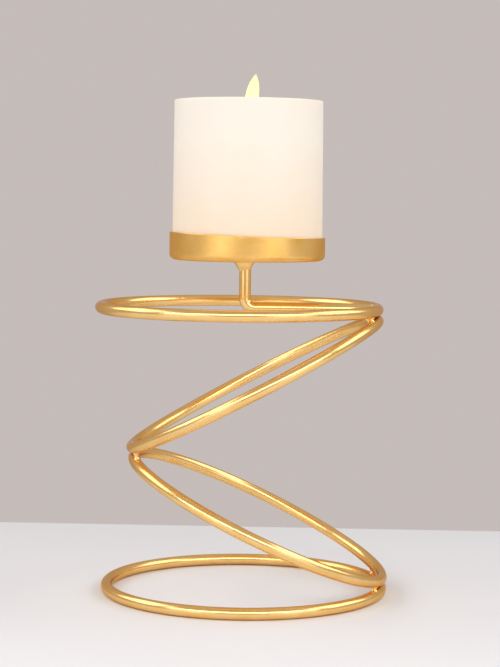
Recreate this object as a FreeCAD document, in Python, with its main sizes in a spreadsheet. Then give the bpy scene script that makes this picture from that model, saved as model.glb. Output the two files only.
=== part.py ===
import FreeCAD, Part
import math
import os

import Sketcher

# Spiral candle holder with its flameless pillar candle, in millimetres.
# The frame: origin under the middle of the base ring, level with its underside,
# +Z up, +X to the right in the front view and +Y towards the rear.

document = FreeCAD.newDocument("spiral_candle_holder")
sizes = document.addObject("Spreadsheet::Sheet", "sizes")

# Driving dimensions, in millimetres and degrees
dimensions = {
    # round wire rings, each tilted ring resting on the one below it
    "wire_dia": 6.0,
    "ring_outer_dia": 144.5,
    "lower_tilt": 25.35,
    "upper_tilt": 27.8,
    # how far two wires are pressed into each other where they are welded,
    # and how far the line between their middles leans to the right
    "right_weld_press": 0.2,
    "right_weld_lean": 3.0,
    "left_weld_press": 0.8,
    "left_weld_lean": -11.8,
    "top_weld_press": 0.4,
    "top_weld_lean": -2.0,
    # tack beads in the wedge between two rings
    "bead_turn": 19.0,
    "bead_width": 3.4,
    "bead_length": 4.2,
    # stem
    "stem_bend_radius": 5.0,
    "stem_height": 24.0,
    "arm_weld_dia": 8.6,
    "arm_weld_length": 3.0,
    "cup_weld_dia": 10.0,
    "cup_weld_height": 5.5,
    "weld_lip": 0.15,
    # cup
    "cup_dia": 78.0,
    "cup_height": 12.7,
    "cup_wall": 1.0,
    "cup_corner_radius": 3.0,
    "cup_rim_round": 0.25,
    # candle
    "seat_gap": 0.3,
    "candle_fit_gap": 0.5,
    "candle_height": 78.1,
    "candle_draft": 0.5,
    "shell_wall": 3.5,
    "dish_depth": 7.0,
    "dish_rim": 3.2,
    "dish_corner_radius": 5.0,
    "roof_thickness": 4.0,
    "candle_edge_round": 0.8,
    "candle_foot_round": 1.5,
    "snug_gap": 0.15,
    "running_gap": 0.3,
    # base of the candle
    "base_recess": 1.0,
    "plate_thickness": 3.0,
    "skirt_height": 7.0,
    "skirt_wall": 1.5,
    "cover_thickness": 1.4,
    "cover_border": 2.0,
    "cover_ear": 5.0,
    "cover_ear_width": 7.0,
    "cover_screw_dia": 2.4,
    "cover_screw_head_dia": 4.4,
    "cover_screw_head_height": 0.7,
    # batteries
    "cell_tip_dia": 3.8,
    "cell_tip_length": 1.2,
    "contact_space": 1.5,
    "contact_thickness": 0.4,
    "contact_width": 8.0,
    "tray_wall": 1.2,
    "post_dia": 4.0,
    "post_height": 2.0,
    # switch
    "switch_travel": 2.0,
    "switch_length": 12.0,
    "switch_width": 6.0,
    "switch_height": 4.0,
    "knob_length": 4.0,
    "knob_width": 3.0,
    "knob_sink": 0.4,
    "tang_width": 1.4,
    "tang_height": 2.0,
    # circuit board and light engine
    "board_thickness": 1.6,
    "core_dia": 24.0,
    "core_wall": 1.5,
    "core_flange_dia": 36.0,
    "core_flange_thickness": 2.0,
    "core_floor_thickness": 2.0,
    "lead_hole_dia": 4.0,
    "coil_gap": 2.0,
    "coil_core_dia": 6.0,
    "bobbin_flange": 1.0,
    "deck_thickness": 2.0,
    "led_dia": 5.0,
    "led_flange_dia": 5.8,
    "led_flange_height": 1.0,
    "led_height": 8.6,
    # swinging flame
    "pivot_dia": 1.0,
    "pivot_bore_gap": 0.1,
    "pivot_rise": 2.6,
    "ear_width": 4.0,
    "ear_thickness": 1.6,
    "ear_top": 4.2,
    "flame_length": 26.6,
    "flame_width": 7.8,
    "flame_belly": 13.0,
    "flame_neck_width": 3.5,
    "flame_neck_length": 7.0,
    "flame_thickness": 1.4,
    "flame_lean": 9.3,
    "flame_eye_dia": 4.0,
    "tail_width": 3.0,
    "tail_lean": 3.6,
    "slot_length": 12.0,
    "slot_width": 4.4,
    "magnet_dia": 5.0,
    "magnet_height": 3.0,
}

# Sizes inside the candle, as shares of its bore's diameter
bore_shares = {
    "cell_dia_share": 0.1544,
    "cell_length_share": 0.6368,
    "switch_offset_share": 0.3088,
    "board_dia_share": 0.794,
}

# Heights inside the candle, as shares of the way from the board up to the flame's deck
rise_shares = {
    "core_floor_share": 0.274,
    "coil_height_share": 0.251,
    "tail_length_share": 0.316,
}

cells = {**dimensions, **bore_shares, **rise_shares}
for row, (alias, value) in enumerate(cells.items(), start=1):
    sizes.set(f"A{row}", alias)
    sizes.set(f"B{row}", str(value))
    sizes.setAlias(f"B{row}", alias)
document.recompute()


def size(expression):
    """Return an expression with every alias of the sheet written out in full."""
    words = []
    word = ""
    for letter in expression + " ":
        if letter.isalnum() or letter == "_":
            word += letter
            continue
        words.append(f"sizes.{word}" if word in cells else word)
        words.append(letter)
        word = ""
    return "".join(words).strip()


def number(expression):
    """Return what an expression comes to now."""
    return float(sizes.evalExpression(size(expression)))


def bind(thing, **bindings):
    """Tie properties to the sheet; a double underscore in a name stands for a dot."""
    for name, expression in bindings.items():
        thing.setExpression(name.replace("__", "."), size(expression))


def origin_feature(body, role):
    """Return a plane or axis of a body's own origin."""
    for feature in body.Origin.OriginFeatures:
        if feature.Role == role:
            return feature
    raise LookupError(role)


def new_body(name):
    """Make a body whose label is the name of its piece."""
    body = document.addObject("PartDesign::Body", name)
    body.Label = name
    return body


def new_sketch(body, name, plane, lift="0"):
    """Attach a sketch to a plane of the body's origin, lifted along its normal."""
    sketch = body.newObject("Sketcher::SketchObject", name)
    sketch.AttachmentSupport = [(origin_feature(body, plane), "")]
    sketch.MapMode = "FlatFace"
    bind(sketch, AttachmentOffset__Base__z=lift)
    return sketch


def fix_point(sketch, curve, end, across, up=None):
    """Hold one end of a curve at a place that follows the sheet, or only across it."""
    for kind, expression in (("DistanceX", across), ("DistanceY", up)):
        if expression is None:
            continue
        rule = Sketcher.Constraint(kind, -1, 1, curve, end, number(expression))
        index = sketch.addConstraint(rule)
        sketch.setExpression(f"Constraints[{index}]", size(expression))


def add_circle(sketch, diameter, across="0", up="0"):
    """Draw a full circle."""
    middle = FreeCAD.Vector(number(across), number(up), 0)
    circle = Part.Circle(middle, FreeCAD.Vector(0, 0, 1), number(diameter) / 2)
    curve = sketch.addGeometry(circle)
    rule = Sketcher.Constraint("Diameter", curve, number(diameter))
    index = sketch.addConstraint(rule)
    sketch.setExpression(f"Constraints[{index}]", size(diameter))
    fix_point(sketch, curve, 3, across, up)


def arc_between(start, end, centre_up, clockwise):
    """Return the arc between two points whose centre lies at a given height."""
    half = (start + end) / 2
    chord = end - start
    centre_across = half.x - (centre_up - half.y) * chord.y / chord.x
    centre = FreeCAD.Vector(centre_across, centre_up, 0)
    first, last = (end, start) if clockwise else (start, end)
    angles = [math.atan2(point.y - centre.y, point.x - centre.x) for point in (first, last)]
    circle = Part.Circle(centre, FreeCAD.Vector(0, 0, 1), (start - centre).Length)
    return Part.ArcOfCircle(circle, angles[0], angles[1])


def add_outline(sketch, corners):
    """Draw a closed outline through corners; a third entry makes the next side an arc.

    The third entry gives the height of the arc's centre and whether it runs clockwise.
    """
    places = [FreeCAD.Vector(number(corner[0]), number(corner[1]), 0) for corner in corners]
    sides = []
    for index, corner in enumerate(corners):
        start = places[index]
        end = places[(index + 1) % len(places)]
        if len(corner) == 2:
            curve = sketch.addGeometry(Part.LineSegment(start, end))
            sides.append((curve, 1, 2))
            continue
        centre_up, clockwise = corner[2]
        curve = sketch.addGeometry(arc_between(start, end, number(centre_up), clockwise))
        sides.append((curve, 2, 1) if clockwise else (curve, 1, 2))
        rule = Sketcher.Constraint("DistanceY", -1, 1, curve, 3, number(centre_up))
        held = sketch.addConstraint(rule)
        sketch.setExpression(f"Constraints[{held}]", size(centre_up))
    for index, (curve, start_end, far_end) in enumerate(sides):
        following, following_start, _ = sides[(index + 1) % len(sides)]
        sketch.addConstraint(Sketcher.Constraint("Coincident", curve, far_end, following, following_start))
        fix_point(sketch, curve, start_end, corners[index][0], corners[index][1])


def add_rectangle(sketch, length, width, across="0", up="0"):
    """Draw a rectangle about a middle point."""
    left = f"({across}) - ({length}) / 2"
    right = f"({across}) + ({length}) / 2"
    low = f"({up}) - ({width}) / 2"
    high = f"({up}) + ({width}) / 2"
    add_outline(sketch, [(left, low), (right, low), (right, high), (left, high)])


def pad(body, sketch, length, symmetric=False):
    """Raise a sketch into a solid."""
    feature = body.newObject("PartDesign::Pad", f"{sketch.Name}_pad")
    feature.Profile = sketch
    bind(feature, Length=length)
    if symmetric:
        feature.SideType = "Symmetric"
    return feature


def pocket(body, sketch, length, symmetric=False):
    """Cut a sketch out of the body along its normal and make sure that it removed something."""
    document.recompute()
    volume = body.Shape.Volume
    faces = len(body.Shape.Faces)
    feature = body.newObject("PartDesign::Pocket", f"{sketch.Name}_cut")
    feature.Profile = sketch
    feature.Reversed = True
    bind(feature, Length=length)
    if symmetric:
        feature.SideType = "Symmetric"
    document.recompute()
    if body.Shape.Volume >= volume and len(body.Shape.Faces) <= faces:
        raise ValueError(f"{feature.Name} cuts nothing")
    return feature


def revolve(body, sketch, axis="Z_Axis"):
    """Turn a sketch once round an axis of the body."""
    feature = body.newObject("PartDesign::Revolution", f"{sketch.Name}_turn")
    feature.Profile = sketch
    feature.ReferenceAxis = (origin_feature(body, axis), [""])
    feature.Angle = 360
    return feature


def round_edges(body, radius, chosen):
    """Round the edges that the chosen rule picks from the body's shape."""
    document.recompute()
    edges = [f"Edge{index}" for index, edge in enumerate(body.Shape.Edges, start=1) if chosen(edge)]
    if not edges:
        raise ValueError(f"{body.Name} has no edge to round")
    rounded = body.Tip
    feature = body.newObject("PartDesign::Fillet", f"{body.Name}_round{len(body.Group)}")
    feature.Base = (rounded, edges)
    bind(feature, Radius=radius)
    return feature


def circle_edge(diameter, height):
    """Return a rule that picks a level circle by its diameter and height."""
    radius = number(diameter) / 2
    level = number(height)
    near = number("snug_gap") / 10

    def chosen(edge):
        curve = edge.Curve
        if not isinstance(curve, Part.Circle):
            return False
        return abs(curve.Radius - radius) < near and abs(curve.Center.z - level) < near

    return chosen


# Places on the holder, worked out ring by ring from the base upwards
RING_RADIUS = "((ring_outer_dia - wire_dia) / 2)"
LOWER_X = (
    f"({RING_RADIUS} * (1 - cos(lower_tilt * 1 deg))"
    " + (wire_dia - right_weld_press) * sin(right_weld_lean * 1 deg))"
)
LOWER_Z = (
    "(wire_dia / 2 + (wire_dia - right_weld_press) * cos(right_weld_lean * 1 deg)"
    f" + {RING_RADIUS} * sin(lower_tilt * 1 deg))"
)
UPPER_X = (
    f"({LOWER_X} + {RING_RADIUS} * (cos(upper_tilt * 1 deg) - cos(lower_tilt * 1 deg))"
    " + (wire_dia - left_weld_press) * sin(left_weld_lean * 1 deg))"
)
UPPER_Z = (
    f"({LOWER_Z} + {RING_RADIUS} * (sin(upper_tilt * 1 deg) + sin(lower_tilt * 1 deg))"
    " + (wire_dia - left_weld_press) * cos(left_weld_lean * 1 deg))"
)
TOP_X = (
    f"({UPPER_X} - {RING_RADIUS} * (1 - cos(upper_tilt * 1 deg))"
    " + (wire_dia - top_weld_press) * sin(top_weld_lean * 1 deg))"
)
TOP_Z = (
    f"({UPPER_Z} + {RING_RADIUS} * sin(upper_tilt * 1 deg)"
    " + (wire_dia - top_weld_press) * cos(top_weld_lean * 1 deg))"
)
CUP_UNDERSIDE = f"({TOP_Z} + stem_height)"
CANDLE_BASE = f"({CUP_UNDERSIDE} + cup_wall + seat_gap)"

# Plan sizes of the candle, which fits in the cup
CANDLE_BASE_DIA = "(cup_dia - 2 * cup_wall - 2 * candle_fit_gap)"
CANDLE_TOP_DIA = f"({CANDLE_BASE_DIA} - 2 * candle_draft)"
BORE_DIA = f"({CANDLE_BASE_DIA} - 2 * shell_wall)"
DISH_DIA = f"({CANDLE_TOP_DIA} - 2 * dish_rim)"
CELL_DIA = f"({BORE_DIA} * cell_dia_share)"
CELL_LENGTH = f"({BORE_DIA} * cell_length_share)"
CELL_OFFSET = f"(({CELL_DIA} + running_gap) / 2)"
BAY_LENGTH = f"({CELL_LENGTH} + cell_tip_length + 2 * contact_space)"
BAY_WIDTH = f"(2 * {CELL_DIA} + 3 * running_gap)"
EAR_MIDDLE = f"({BAY_LENGTH} / 2 + cover_border + cover_ear / 2)"
SWITCH_OFFSET = f"({BORE_DIA} * switch_offset_share)"
BOARD_DIA = f"({BORE_DIA} * board_dia_share)"
COIL_DIA = "(core_dia - 2 * core_wall - 2 * coil_gap)"
LED_OFFSET = "(slot_width / 2 + ear_thickness + running_gap + led_flange_dia / 2)"

# Heights inside the candle, above its underside
PLATE_TOP = "(base_recess + plate_thickness)"
COVER_TOP = "(base_recess + cover_thickness)"
CELL_MIDDLE = f"({COVER_TOP} + running_gap + {CELL_DIA} / 2)"
TRAY_ROOF = f"({CELL_MIDDLE} + {CELL_DIA} / 2 + running_gap)"
BOARD_UNDERSIDE = f"({TRAY_ROOF} + tray_wall + post_height)"
BOARD_TOP = f"({BOARD_UNDERSIDE} + board_thickness)"
ROOF_UNDERSIDE = "(candle_height - dish_depth - roof_thickness)"
DECK_TOP = f"({ROOF_UNDERSIDE} - ear_top - running_gap)"
DECK_UNDERSIDE = f"({DECK_TOP} - deck_thickness)"
PIVOT = f"({DECK_TOP} + pivot_rise)"
CORE_RISE = f"({DECK_TOP} - {BOARD_TOP})"
CORE_FLOOR = f"({CORE_RISE} * core_floor_share)"
COIL_BASE = f"({BOARD_TOP} + {CORE_FLOOR} + core_floor_thickness)"
COIL_HEIGHT = f"({CORE_RISE} * coil_height_share)"
TAIL_LENGTH = f"({CORE_RISE} * tail_length_share)"

# Tilt of each ring about the Y axis; a positive tilt lowers the right end
TILTS = {
    "base_ring": "0",
    "lower_ring": "lower_tilt",
    "upper_ring": "(0 - upper_tilt)",
    "top_ring": "0",
}
CENTRES = {
    "base_ring": ("0", "(wire_dia / 2)"),
    "lower_ring": (LOWER_X, LOWER_Z),
    "upper_ring": (UPPER_X, UPPER_Z),
    "top_ring": (TOP_X, TOP_Z),
}


def wire_ring(name):
    """Make one closed ring of round wire in its own tilted place."""
    body = new_body(name)
    sketch = new_sketch(body, f"{name}_wire", "YZ_Plane")
    add_circle(sketch, "wire_dia", RING_RADIUS)
    revolve(body, sketch)
    across, height = CENTRES[name]
    body.Placement = FreeCAD.Placement(
        FreeCAD.Vector(number(across), 0, number(height)),
        FreeCAD.Rotation(FreeCAD.Vector(0, 1, 0), 1),
    )
    bind(
        body,
        Placement__Base__x=across,
        Placement__Base__z=height,
        Placement__Rotation__Angle=f"{TILTS[name]} * 1 deg",
    )
    return body


def weld_flat(body, side, facing, weld):
    """Press the flat where this ring meets its neighbour.

    side is 1 at the ring's right end and -1 at its left; facing is 1 upwards.
    """
    name = body.Name
    lean = f"({weld}_weld_lean - {TILTS[name]})"
    reach = f"({facing} * (wire_dia - {weld}_weld_press) / 2)"
    sketch = new_sketch(body, f"{name}_{weld}_flat", "XZ_Plane")
    bind(
        sketch,
        AttachmentOffset__Base__x=f"{side} * {RING_RADIUS} + {reach} * sin({lean} * 1 deg)",
        AttachmentOffset__Base__y=f"{reach} * cos({lean} * 1 deg)",
        AttachmentOffset__Rotation__Angle=f"(0 - {lean}) * 1 deg",
    )
    add_rectangle(sketch, "2 * wire_dia", "wire_dia", "0", f"{facing} * wire_dia / 2")
    pocket(body, sketch, "ring_outer_dia", symmetric=True)


def tack_beads(name, lower, upper, side):
    """Make the front and rear weld beads between two rings, shaped by both wires."""
    beads = []
    reach = f"{side} * {RING_RADIUS} * cos(bead_turn * 1 deg)"
    across = (
        f"({CENTRES[lower][0]} + {CENTRES[upper][0]}"
        f" + {reach} * (cos({TILTS[lower]} * 1 deg) + cos({TILTS[upper]} * 1 deg))) / 2"
    )
    height = (
        f"({CENTRES[lower][1]} + {CENTRES[upper][1]}"
        f" - {reach} * (sin({TILTS[lower]} * 1 deg) + sin({TILTS[upper]} * 1 deg))) / 2"
    )
    for place, direction in (("front", -1), ("rear", 1)):
        bead = document.addObject("Part::Ellipsoid", f"{name}_{place}")
        bind(
            bead,
            Radius1="wire_dia / 2",
            Radius2="bead_width / 2",
            Radius3="bead_length / 2",
            Placement__Base__x=across,
            Placement__Base__y=f"{direction} * {RING_RADIUS} * sin(bead_turn * 1 deg)",
            Placement__Base__z=height,
        )
        beads.append(bead)
    pair = document.addObject("Part::Compound", f"{name}_pair")
    pair.Links = beads
    above = document.addObject("Part::Cut", f"{name}_on_lower")
    above.Base = pair
    above.Tool = document.getObject(lower)
    weld = document.addObject("Part::Cut", name)
    weld.Base = above
    weld.Tool = document.getObject(upper)
    weld.Label = name
    return weld


def bent_stem():
    """Bend one wire from the top ring's inner side to the cup's underside."""
    body = new_body("stem_wire")
    path = new_sketch(body, "stem_path", "XZ_Plane")
    arm_end = f"({TOP_X} + {RING_RADIUS} - wire_dia / 4)"
    points = [
        FreeCAD.Vector(number(arm_end), 0, 0),
        FreeCAD.Vector(number("stem_bend_radius"), 0, 0),
        FreeCAD.Vector(0, number("stem_bend_radius"), 0),
        FreeCAD.Vector(0, number("stem_height"), 0),
    ]
    arm = path.addGeometry(Part.LineSegment(points[0], points[1]))
    middle = FreeCAD.Vector(number("stem_bend_radius"), number("stem_bend_radius"), 0)
    circle = Part.Circle(middle, FreeCAD.Vector(0, 0, 1), number("stem_bend_radius"))
    bend = path.addGeometry(Part.ArcOfCircle(circle, math.pi, 1.5 * math.pi))
    post = path.addGeometry(Part.LineSegment(points[2], points[3]))
    path.addConstraint(Sketcher.Constraint("Coincident", arm, 2, bend, 2))
    path.addConstraint(Sketcher.Constraint("Coincident", bend, 1, post, 1))
    fix_point(path, arm, 1, arm_end, "0")
    fix_point(path, bend, 3, "stem_bend_radius", "stem_bend_radius")
    fix_point(path, post, 1, "0", "stem_bend_radius")
    fix_point(path, post, 2, "0", "stem_height")
    fix_point(path, arm, 2, "stem_bend_radius")
    section = new_sketch(body, "stem_section", "XY_Plane", "stem_height")
    add_circle(section, "wire_dia")
    pipe = body.newObject("PartDesign::AdditivePipe", "stem_pipe")
    pipe.Profile = section
    pipe.Spine = path
    bind(body, Placement__Base__z=TOP_Z)
    stem = document.addObject("Part::Cut", "stem")
    stem.Base = body
    stem.Tool = document.getObject("top_ring")
    stem.Label = "stem"
    return stem


def fillet_weld(name, foot_dia, height):
    """Turn a concave weld collar that hugs the wire and flares towards the body's origin."""
    body = new_body(name)
    sketch = new_sketch(body, f"{name}_profile", "XZ_Plane")
    wire = "wire_dia / 2"
    foot = f"({foot_dia}) / 2"
    add_outline(sketch, [
        (wire, "0"),
        (foot, "0"),
        (foot, "weld_lip", (height, True)),
        (f"{wire} + weld_lip", height),
        (wire, height),
    ])
    revolve(body, sketch)
    return body


def weld_stem_to_cup():
    """Make the flared weld under the cup, wide end up."""
    body = fillet_weld("weld_stem_cup", "cup_weld_dia", "cup_weld_height")
    body.Placement.Rotation = FreeCAD.Rotation(FreeCAD.Vector(1, 0, 0), 180)
    bind(body, Placement__Base__z=CUP_UNDERSIDE)
    return body


def weld_stem_to_ring():
    """Make the weld collar where the arm meets the top ring."""
    body = fillet_weld("arm_collar", "arm_weld_dia", "arm_weld_length + wire_dia / 2")
    body.Placement.Rotation = FreeCAD.Rotation(FreeCAD.Vector(0, 1, 0), -90)
    bind(
        body,
        Placement__Base__x=f"{TOP_X} + {RING_RADIUS} - wire_dia / 4",
        Placement__Base__z=TOP_Z,
    )
    clear = document.addObject("Part::Cut", "arm_collar_on_top")
    clear.Base = body
    clear.Tool = document.getObject("top_ring")
    weld = document.addObject("Part::Cut", "weld_stem_ring")
    weld.Base = clear
    weld.Tool = document.getObject("upper_ring")
    weld.Label = "weld_stem_ring"
    return weld


def cup():
    """Make the shallow pressed cup."""
    body = new_body("cup")
    disc = new_sketch(body, "cup_outside", "XY_Plane")
    add_circle(disc, "cup_dia")
    pad(body, disc, "cup_height")
    hollow = new_sketch(body, "cup_inside", "XY_Plane", "cup_wall")
    add_circle(hollow, "cup_dia - 2 * cup_wall")
    pocket(body, hollow, "cup_height")
    round_edges(body, "cup_corner_radius", circle_edge("cup_dia", "0"))
    inside = circle_edge("cup_dia - 2 * cup_wall", "cup_wall")
    round_edges(body, "cup_corner_radius - cup_wall", inside)
    rims = [circle_edge("cup_dia", "cup_height"), circle_edge("cup_dia - 2 * cup_wall", "cup_height")]
    round_edges(body, "cup_rim_round", lambda edge: any(rim(edge) for rim in rims))
    bind(body, Placement__Base__z=CUP_UNDERSIDE)
    return body


def wax_shell():
    """Make the candle's outer shell: drafted sides, dished top, flame slot and light port."""
    body = new_body("wax_shell")
    profile = new_sketch(body, "shell_profile", "XZ_Plane")
    bore = f"{BORE_DIA} / 2"
    dish = f"{DISH_DIA} / 2"
    floor = "candle_height - dish_depth"
    add_outline(profile, [
        (bore, "0"),
        (f"{CANDLE_BASE_DIA} / 2", "0"),
        (f"{CANDLE_TOP_DIA} / 2", "candle_height"),
        (dish, "candle_height"),
        (dish, floor),
        ("0", floor),
        ("0", ROOF_UNDERSIDE),
        (bore, ROOF_UNDERSIDE),
    ])
    revolve(body, profile)
    round_edges(body, "dish_corner_radius", circle_edge(DISH_DIA, floor))
    round_edges(body, "candle_foot_round", circle_edge(CANDLE_BASE_DIA, "0"))
    rims = [circle_edge(CANDLE_TOP_DIA, "candle_height"), circle_edge(DISH_DIA, "candle_height")]
    round_edges(body, "candle_edge_round", lambda edge: any(rim(edge) for rim in rims))
    slot = new_sketch(body, "flame_slot", "XY_Plane", ROOF_UNDERSIDE)
    add_rectangle(slot, "slot_length", "slot_width")
    pocket(body, slot, "roof_thickness")
    port = new_sketch(body, "light_port", "XY_Plane", ROOF_UNDERSIDE)
    add_circle(port, "led_dia + 2 * running_gap", "0", f"0 - {LED_OFFSET}")
    pocket(body, port, "roof_thickness")
    bind(body, Placement__Base__z=CANDLE_BASE)
    return body


def base_plate():
    """Make the plate that closes the shell, with its skirt, battery bay and switch slot."""
    body = new_body("base_plate")
    disc = new_sketch(body, "plate_disc", "XY_Plane")
    add_circle(disc, f"{BORE_DIA} - 2 * snug_gap")
    pad(body, disc, "skirt_height")
    inside = new_sketch(body, "skirt_inside", "XY_Plane", "plate_thickness")
    add_circle(inside, f"{BORE_DIA} - 2 * snug_gap - 2 * skirt_wall")
    pocket(body, inside, "skirt_height")
    recess = new_sketch(body, "cover_recess", "XY_Plane")
    add_outline(recess, cover_corners("snug_gap"))
    pocket(body, recess, "cover_thickness")
    bay = new_sketch(body, "bay_opening", "XY_Plane")
    add_rectangle(bay, BAY_LENGTH, BAY_WIDTH)
    pocket(body, bay, "plate_thickness")
    slot = new_sketch(body, "switch_slot", "XY_Plane")
    add_rectangle(
        slot,
        "knob_length + switch_travel + 2 * running_gap",
        "knob_width + 2 * running_gap",
        "switch_travel / 2",
        f"0 - {SWITCH_OFFSET}",
    )
    pocket(body, slot, "plate_thickness")
    hole = new_sketch(body, "screw_hole", "XY_Plane")
    add_circle(hole, "cover_screw_dia", EAR_MIDDLE)
    pocket(body, hole, "plate_thickness")
    bind(body, Placement__Base__z=f"{CANDLE_BASE} + base_recess")
    return body


def cover_corners(gap):
    """Return the outline of the battery cover, larger all round by a gap."""
    end = f"({BAY_LENGTH} / 2 + cover_border + {gap})"
    side = f"({BAY_WIDTH} / 2 + cover_border + {gap})"
    ear_end = f"({EAR_MIDDLE} + cover_ear / 2 + {gap})"
    ear_side = f"(cover_ear_width / 2 + {gap})"
    return [
        (f"0 - {end}", f"0 - {side}"),
        (end, f"0 - {side}"),
        (end, f"0 - {ear_side}"),
        (ear_end, f"0 - {ear_side}"),
        (ear_end, ear_side),
        (end, ear_side),
        (end, side),
        (f"0 - {end}", side),
    ]


def battery_cover():
    """Make the flat cover of the battery bay, with the ear that its screw goes through."""
    body = new_body("battery_cover")
    plate = new_sketch(body, "cover_plate", "XY_Plane")
    add_outline(plate, cover_corners("0"))
    pad(body, plate, "cover_thickness")
    hole = new_sketch(body, "cover_hole", "XY_Plane")
    add_circle(hole, "cover_screw_dia + 2 * snug_gap", EAR_MIDDLE)
    pocket(body, hole, "cover_thickness")
    seat = new_sketch(body, "cover_screw_seat", "XY_Plane")
    add_circle(seat, "cover_screw_head_dia + 2 * snug_gap", EAR_MIDDLE)
    pocket(body, seat, "cover_screw_head_height")
    bind(body, Placement__Base__z=f"{CANDLE_BASE} + base_recess")
    return body


def cover_screw():
    """Make the screw that holds the battery cover."""
    body = new_body("cover_screw")
    head = new_sketch(body, "screw_head", "XY_Plane")
    add_circle(head, "cover_screw_head_dia")
    pad(body, head, "cover_screw_head_height")
    shank = new_sketch(body, "screw_shank", "XY_Plane")
    add_circle(shank, "cover_screw_dia")
    pad(body, shank, "plate_thickness")
    bind(body, Placement__Base__x=EAR_MIDDLE, Placement__Base__z=f"{CANDLE_BASE} + base_recess")
    return body


def battery_tray():
    """Make the tray over the cells, with posts for the circuit board."""
    body = new_body("battery_tray")
    block = new_sketch(body, "tray_outside", "XY_Plane")
    add_rectangle(block, f"{BAY_LENGTH} + 2 * tray_wall", f"{BAY_WIDTH} + 2 * tray_wall")
    inside_height = f"({TRAY_ROOF} - {PLATE_TOP})"
    pad(body, block, f"{inside_height} + tray_wall")
    hollow = new_sketch(body, "tray_inside", "XY_Plane")
    add_rectangle(hollow, BAY_LENGTH, BAY_WIDTH)
    pocket(body, hollow, inside_height)
    posts = new_sketch(body, "tray_posts", "XY_Plane", f"{inside_height} + tray_wall")
    for across in (-1, 1):
        for along in (-1, 1):
            add_circle(
                posts,
                "post_dia",
                f"{across} * ({BAY_LENGTH} - post_dia) / 2",
                f"{along} * ({BAY_WIDTH} - post_dia) / 2",
            )
    pad(body, posts, "post_height")
    bind(body, Placement__Base__z=f"{CANDLE_BASE} + {PLATE_TOP}")
    return body


def battery(name, direction):
    """Make one cell, lying along X, with its tip to the right for direction 1."""
    body = new_body(name)
    can = new_sketch(body, f"{name}_can", "YZ_Plane")
    add_circle(can, CELL_DIA)
    pad(body, can, CELL_LENGTH)
    tip = new_sketch(body, f"{name}_tip", "YZ_Plane", CELL_LENGTH)
    add_circle(tip, "cell_tip_dia")
    pad(body, tip, "cell_tip_length")
    if direction < 0:
        body.Placement.Rotation = FreeCAD.Rotation(FreeCAD.Vector(0, 0, 1), 180)
    bind(
        body,
        Placement__Base__x=f"{-direction} * ({CELL_LENGTH} + cell_tip_length) / 2",
        Placement__Base__y=f"{direction} * {CELL_OFFSET}",
        Placement__Base__z=f"{CANDLE_BASE} + {CELL_MIDDLE}",
    )
    return body


def contact_strip(name, direction):
    """Make one spring contact at an end of the bay, with a boss for each cell."""
    body = new_body(name)
    strip = new_sketch(body, f"{name}_strip", "YZ_Plane")
    add_rectangle(strip, f"{BAY_WIDTH} - 2 * running_gap", "contact_width")
    pad(body, strip, "contact_thickness")
    bosses = new_sketch(body, f"{name}_bosses", "YZ_Plane", "contact_thickness")
    for along in (-1, 1):
        add_circle(bosses, "cell_tip_dia", f"{along} * {CELL_OFFSET}")
    pad(body, bosses, "contact_space - contact_thickness - running_gap")
    if direction > 0:
        body.Placement.Rotation = FreeCAD.Rotation(FreeCAD.Vector(0, 0, 1), 180)
    bind(
        body,
        Placement__Base__x=f"{direction} * {BAY_LENGTH} / 2",
        Placement__Base__z=f"{CANDLE_BASE} + {CELL_MIDDLE}",
    )
    return body


def switch_housing():
    """Make the fixed body of the slide switch, open below for the tang."""
    body = new_body("switch_housing")
    block = new_sketch(body, "switch_block", "XY_Plane")
    add_rectangle(block, "switch_length", "switch_width")
    pad(body, block, "switch_height")
    track = new_sketch(body, "switch_track", "XY_Plane")
    add_rectangle(
        track,
        "tang_width + switch_travel + 2 * running_gap",
        "tang_width + 2 * running_gap",
        "0",
    )
    pocket(body, track, "tang_height + running_gap")
    bind(
        body,
        Placement__Base__x="switch_travel / 2",
        Placement__Base__y=f"0 - {SWITCH_OFFSET}",
        Placement__Base__z=f"{CANDLE_BASE} + {PLATE_TOP}",
    )
    return body


def power_switch():
    """Make the sliding knob, sunk in the base plate, with its tang in the switch."""
    body = new_body("power_switch")
    knob = new_sketch(body, "knob_block", "XY_Plane")
    add_rectangle(knob, "knob_length", "knob_width")
    knob_height = "(plate_thickness - knob_sink - running_gap)"
    pad(body, knob, knob_height)
    tang = new_sketch(body, "knob_tang", "XY_Plane")
    add_rectangle(tang, "tang_width", "tang_width")
    pad(body, tang, "plate_thickness - knob_sink + tang_height")
    bind(
        body,
        Placement__Base__y=f"0 - {SWITCH_OFFSET}",
        Placement__Base__z=f"{CANDLE_BASE} + base_recess + knob_sink",
    )
    return body


def circuit_board():
    """Make the round board on the tray's posts."""
    body = new_body("circuit_board")
    disc = new_sketch(body, "board_disc", "XY_Plane")
    add_circle(disc, BOARD_DIA)
    pad(body, disc, "board_thickness")
    hole = new_sketch(body, "board_lead_hole", "XY_Plane")
    add_circle(hole, "lead_hole_dia")
    pocket(body, hole, "board_thickness")
    bind(body, Placement__Base__z=f"{CANDLE_BASE} + {BOARD_UNDERSIDE}")
    return body


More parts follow.
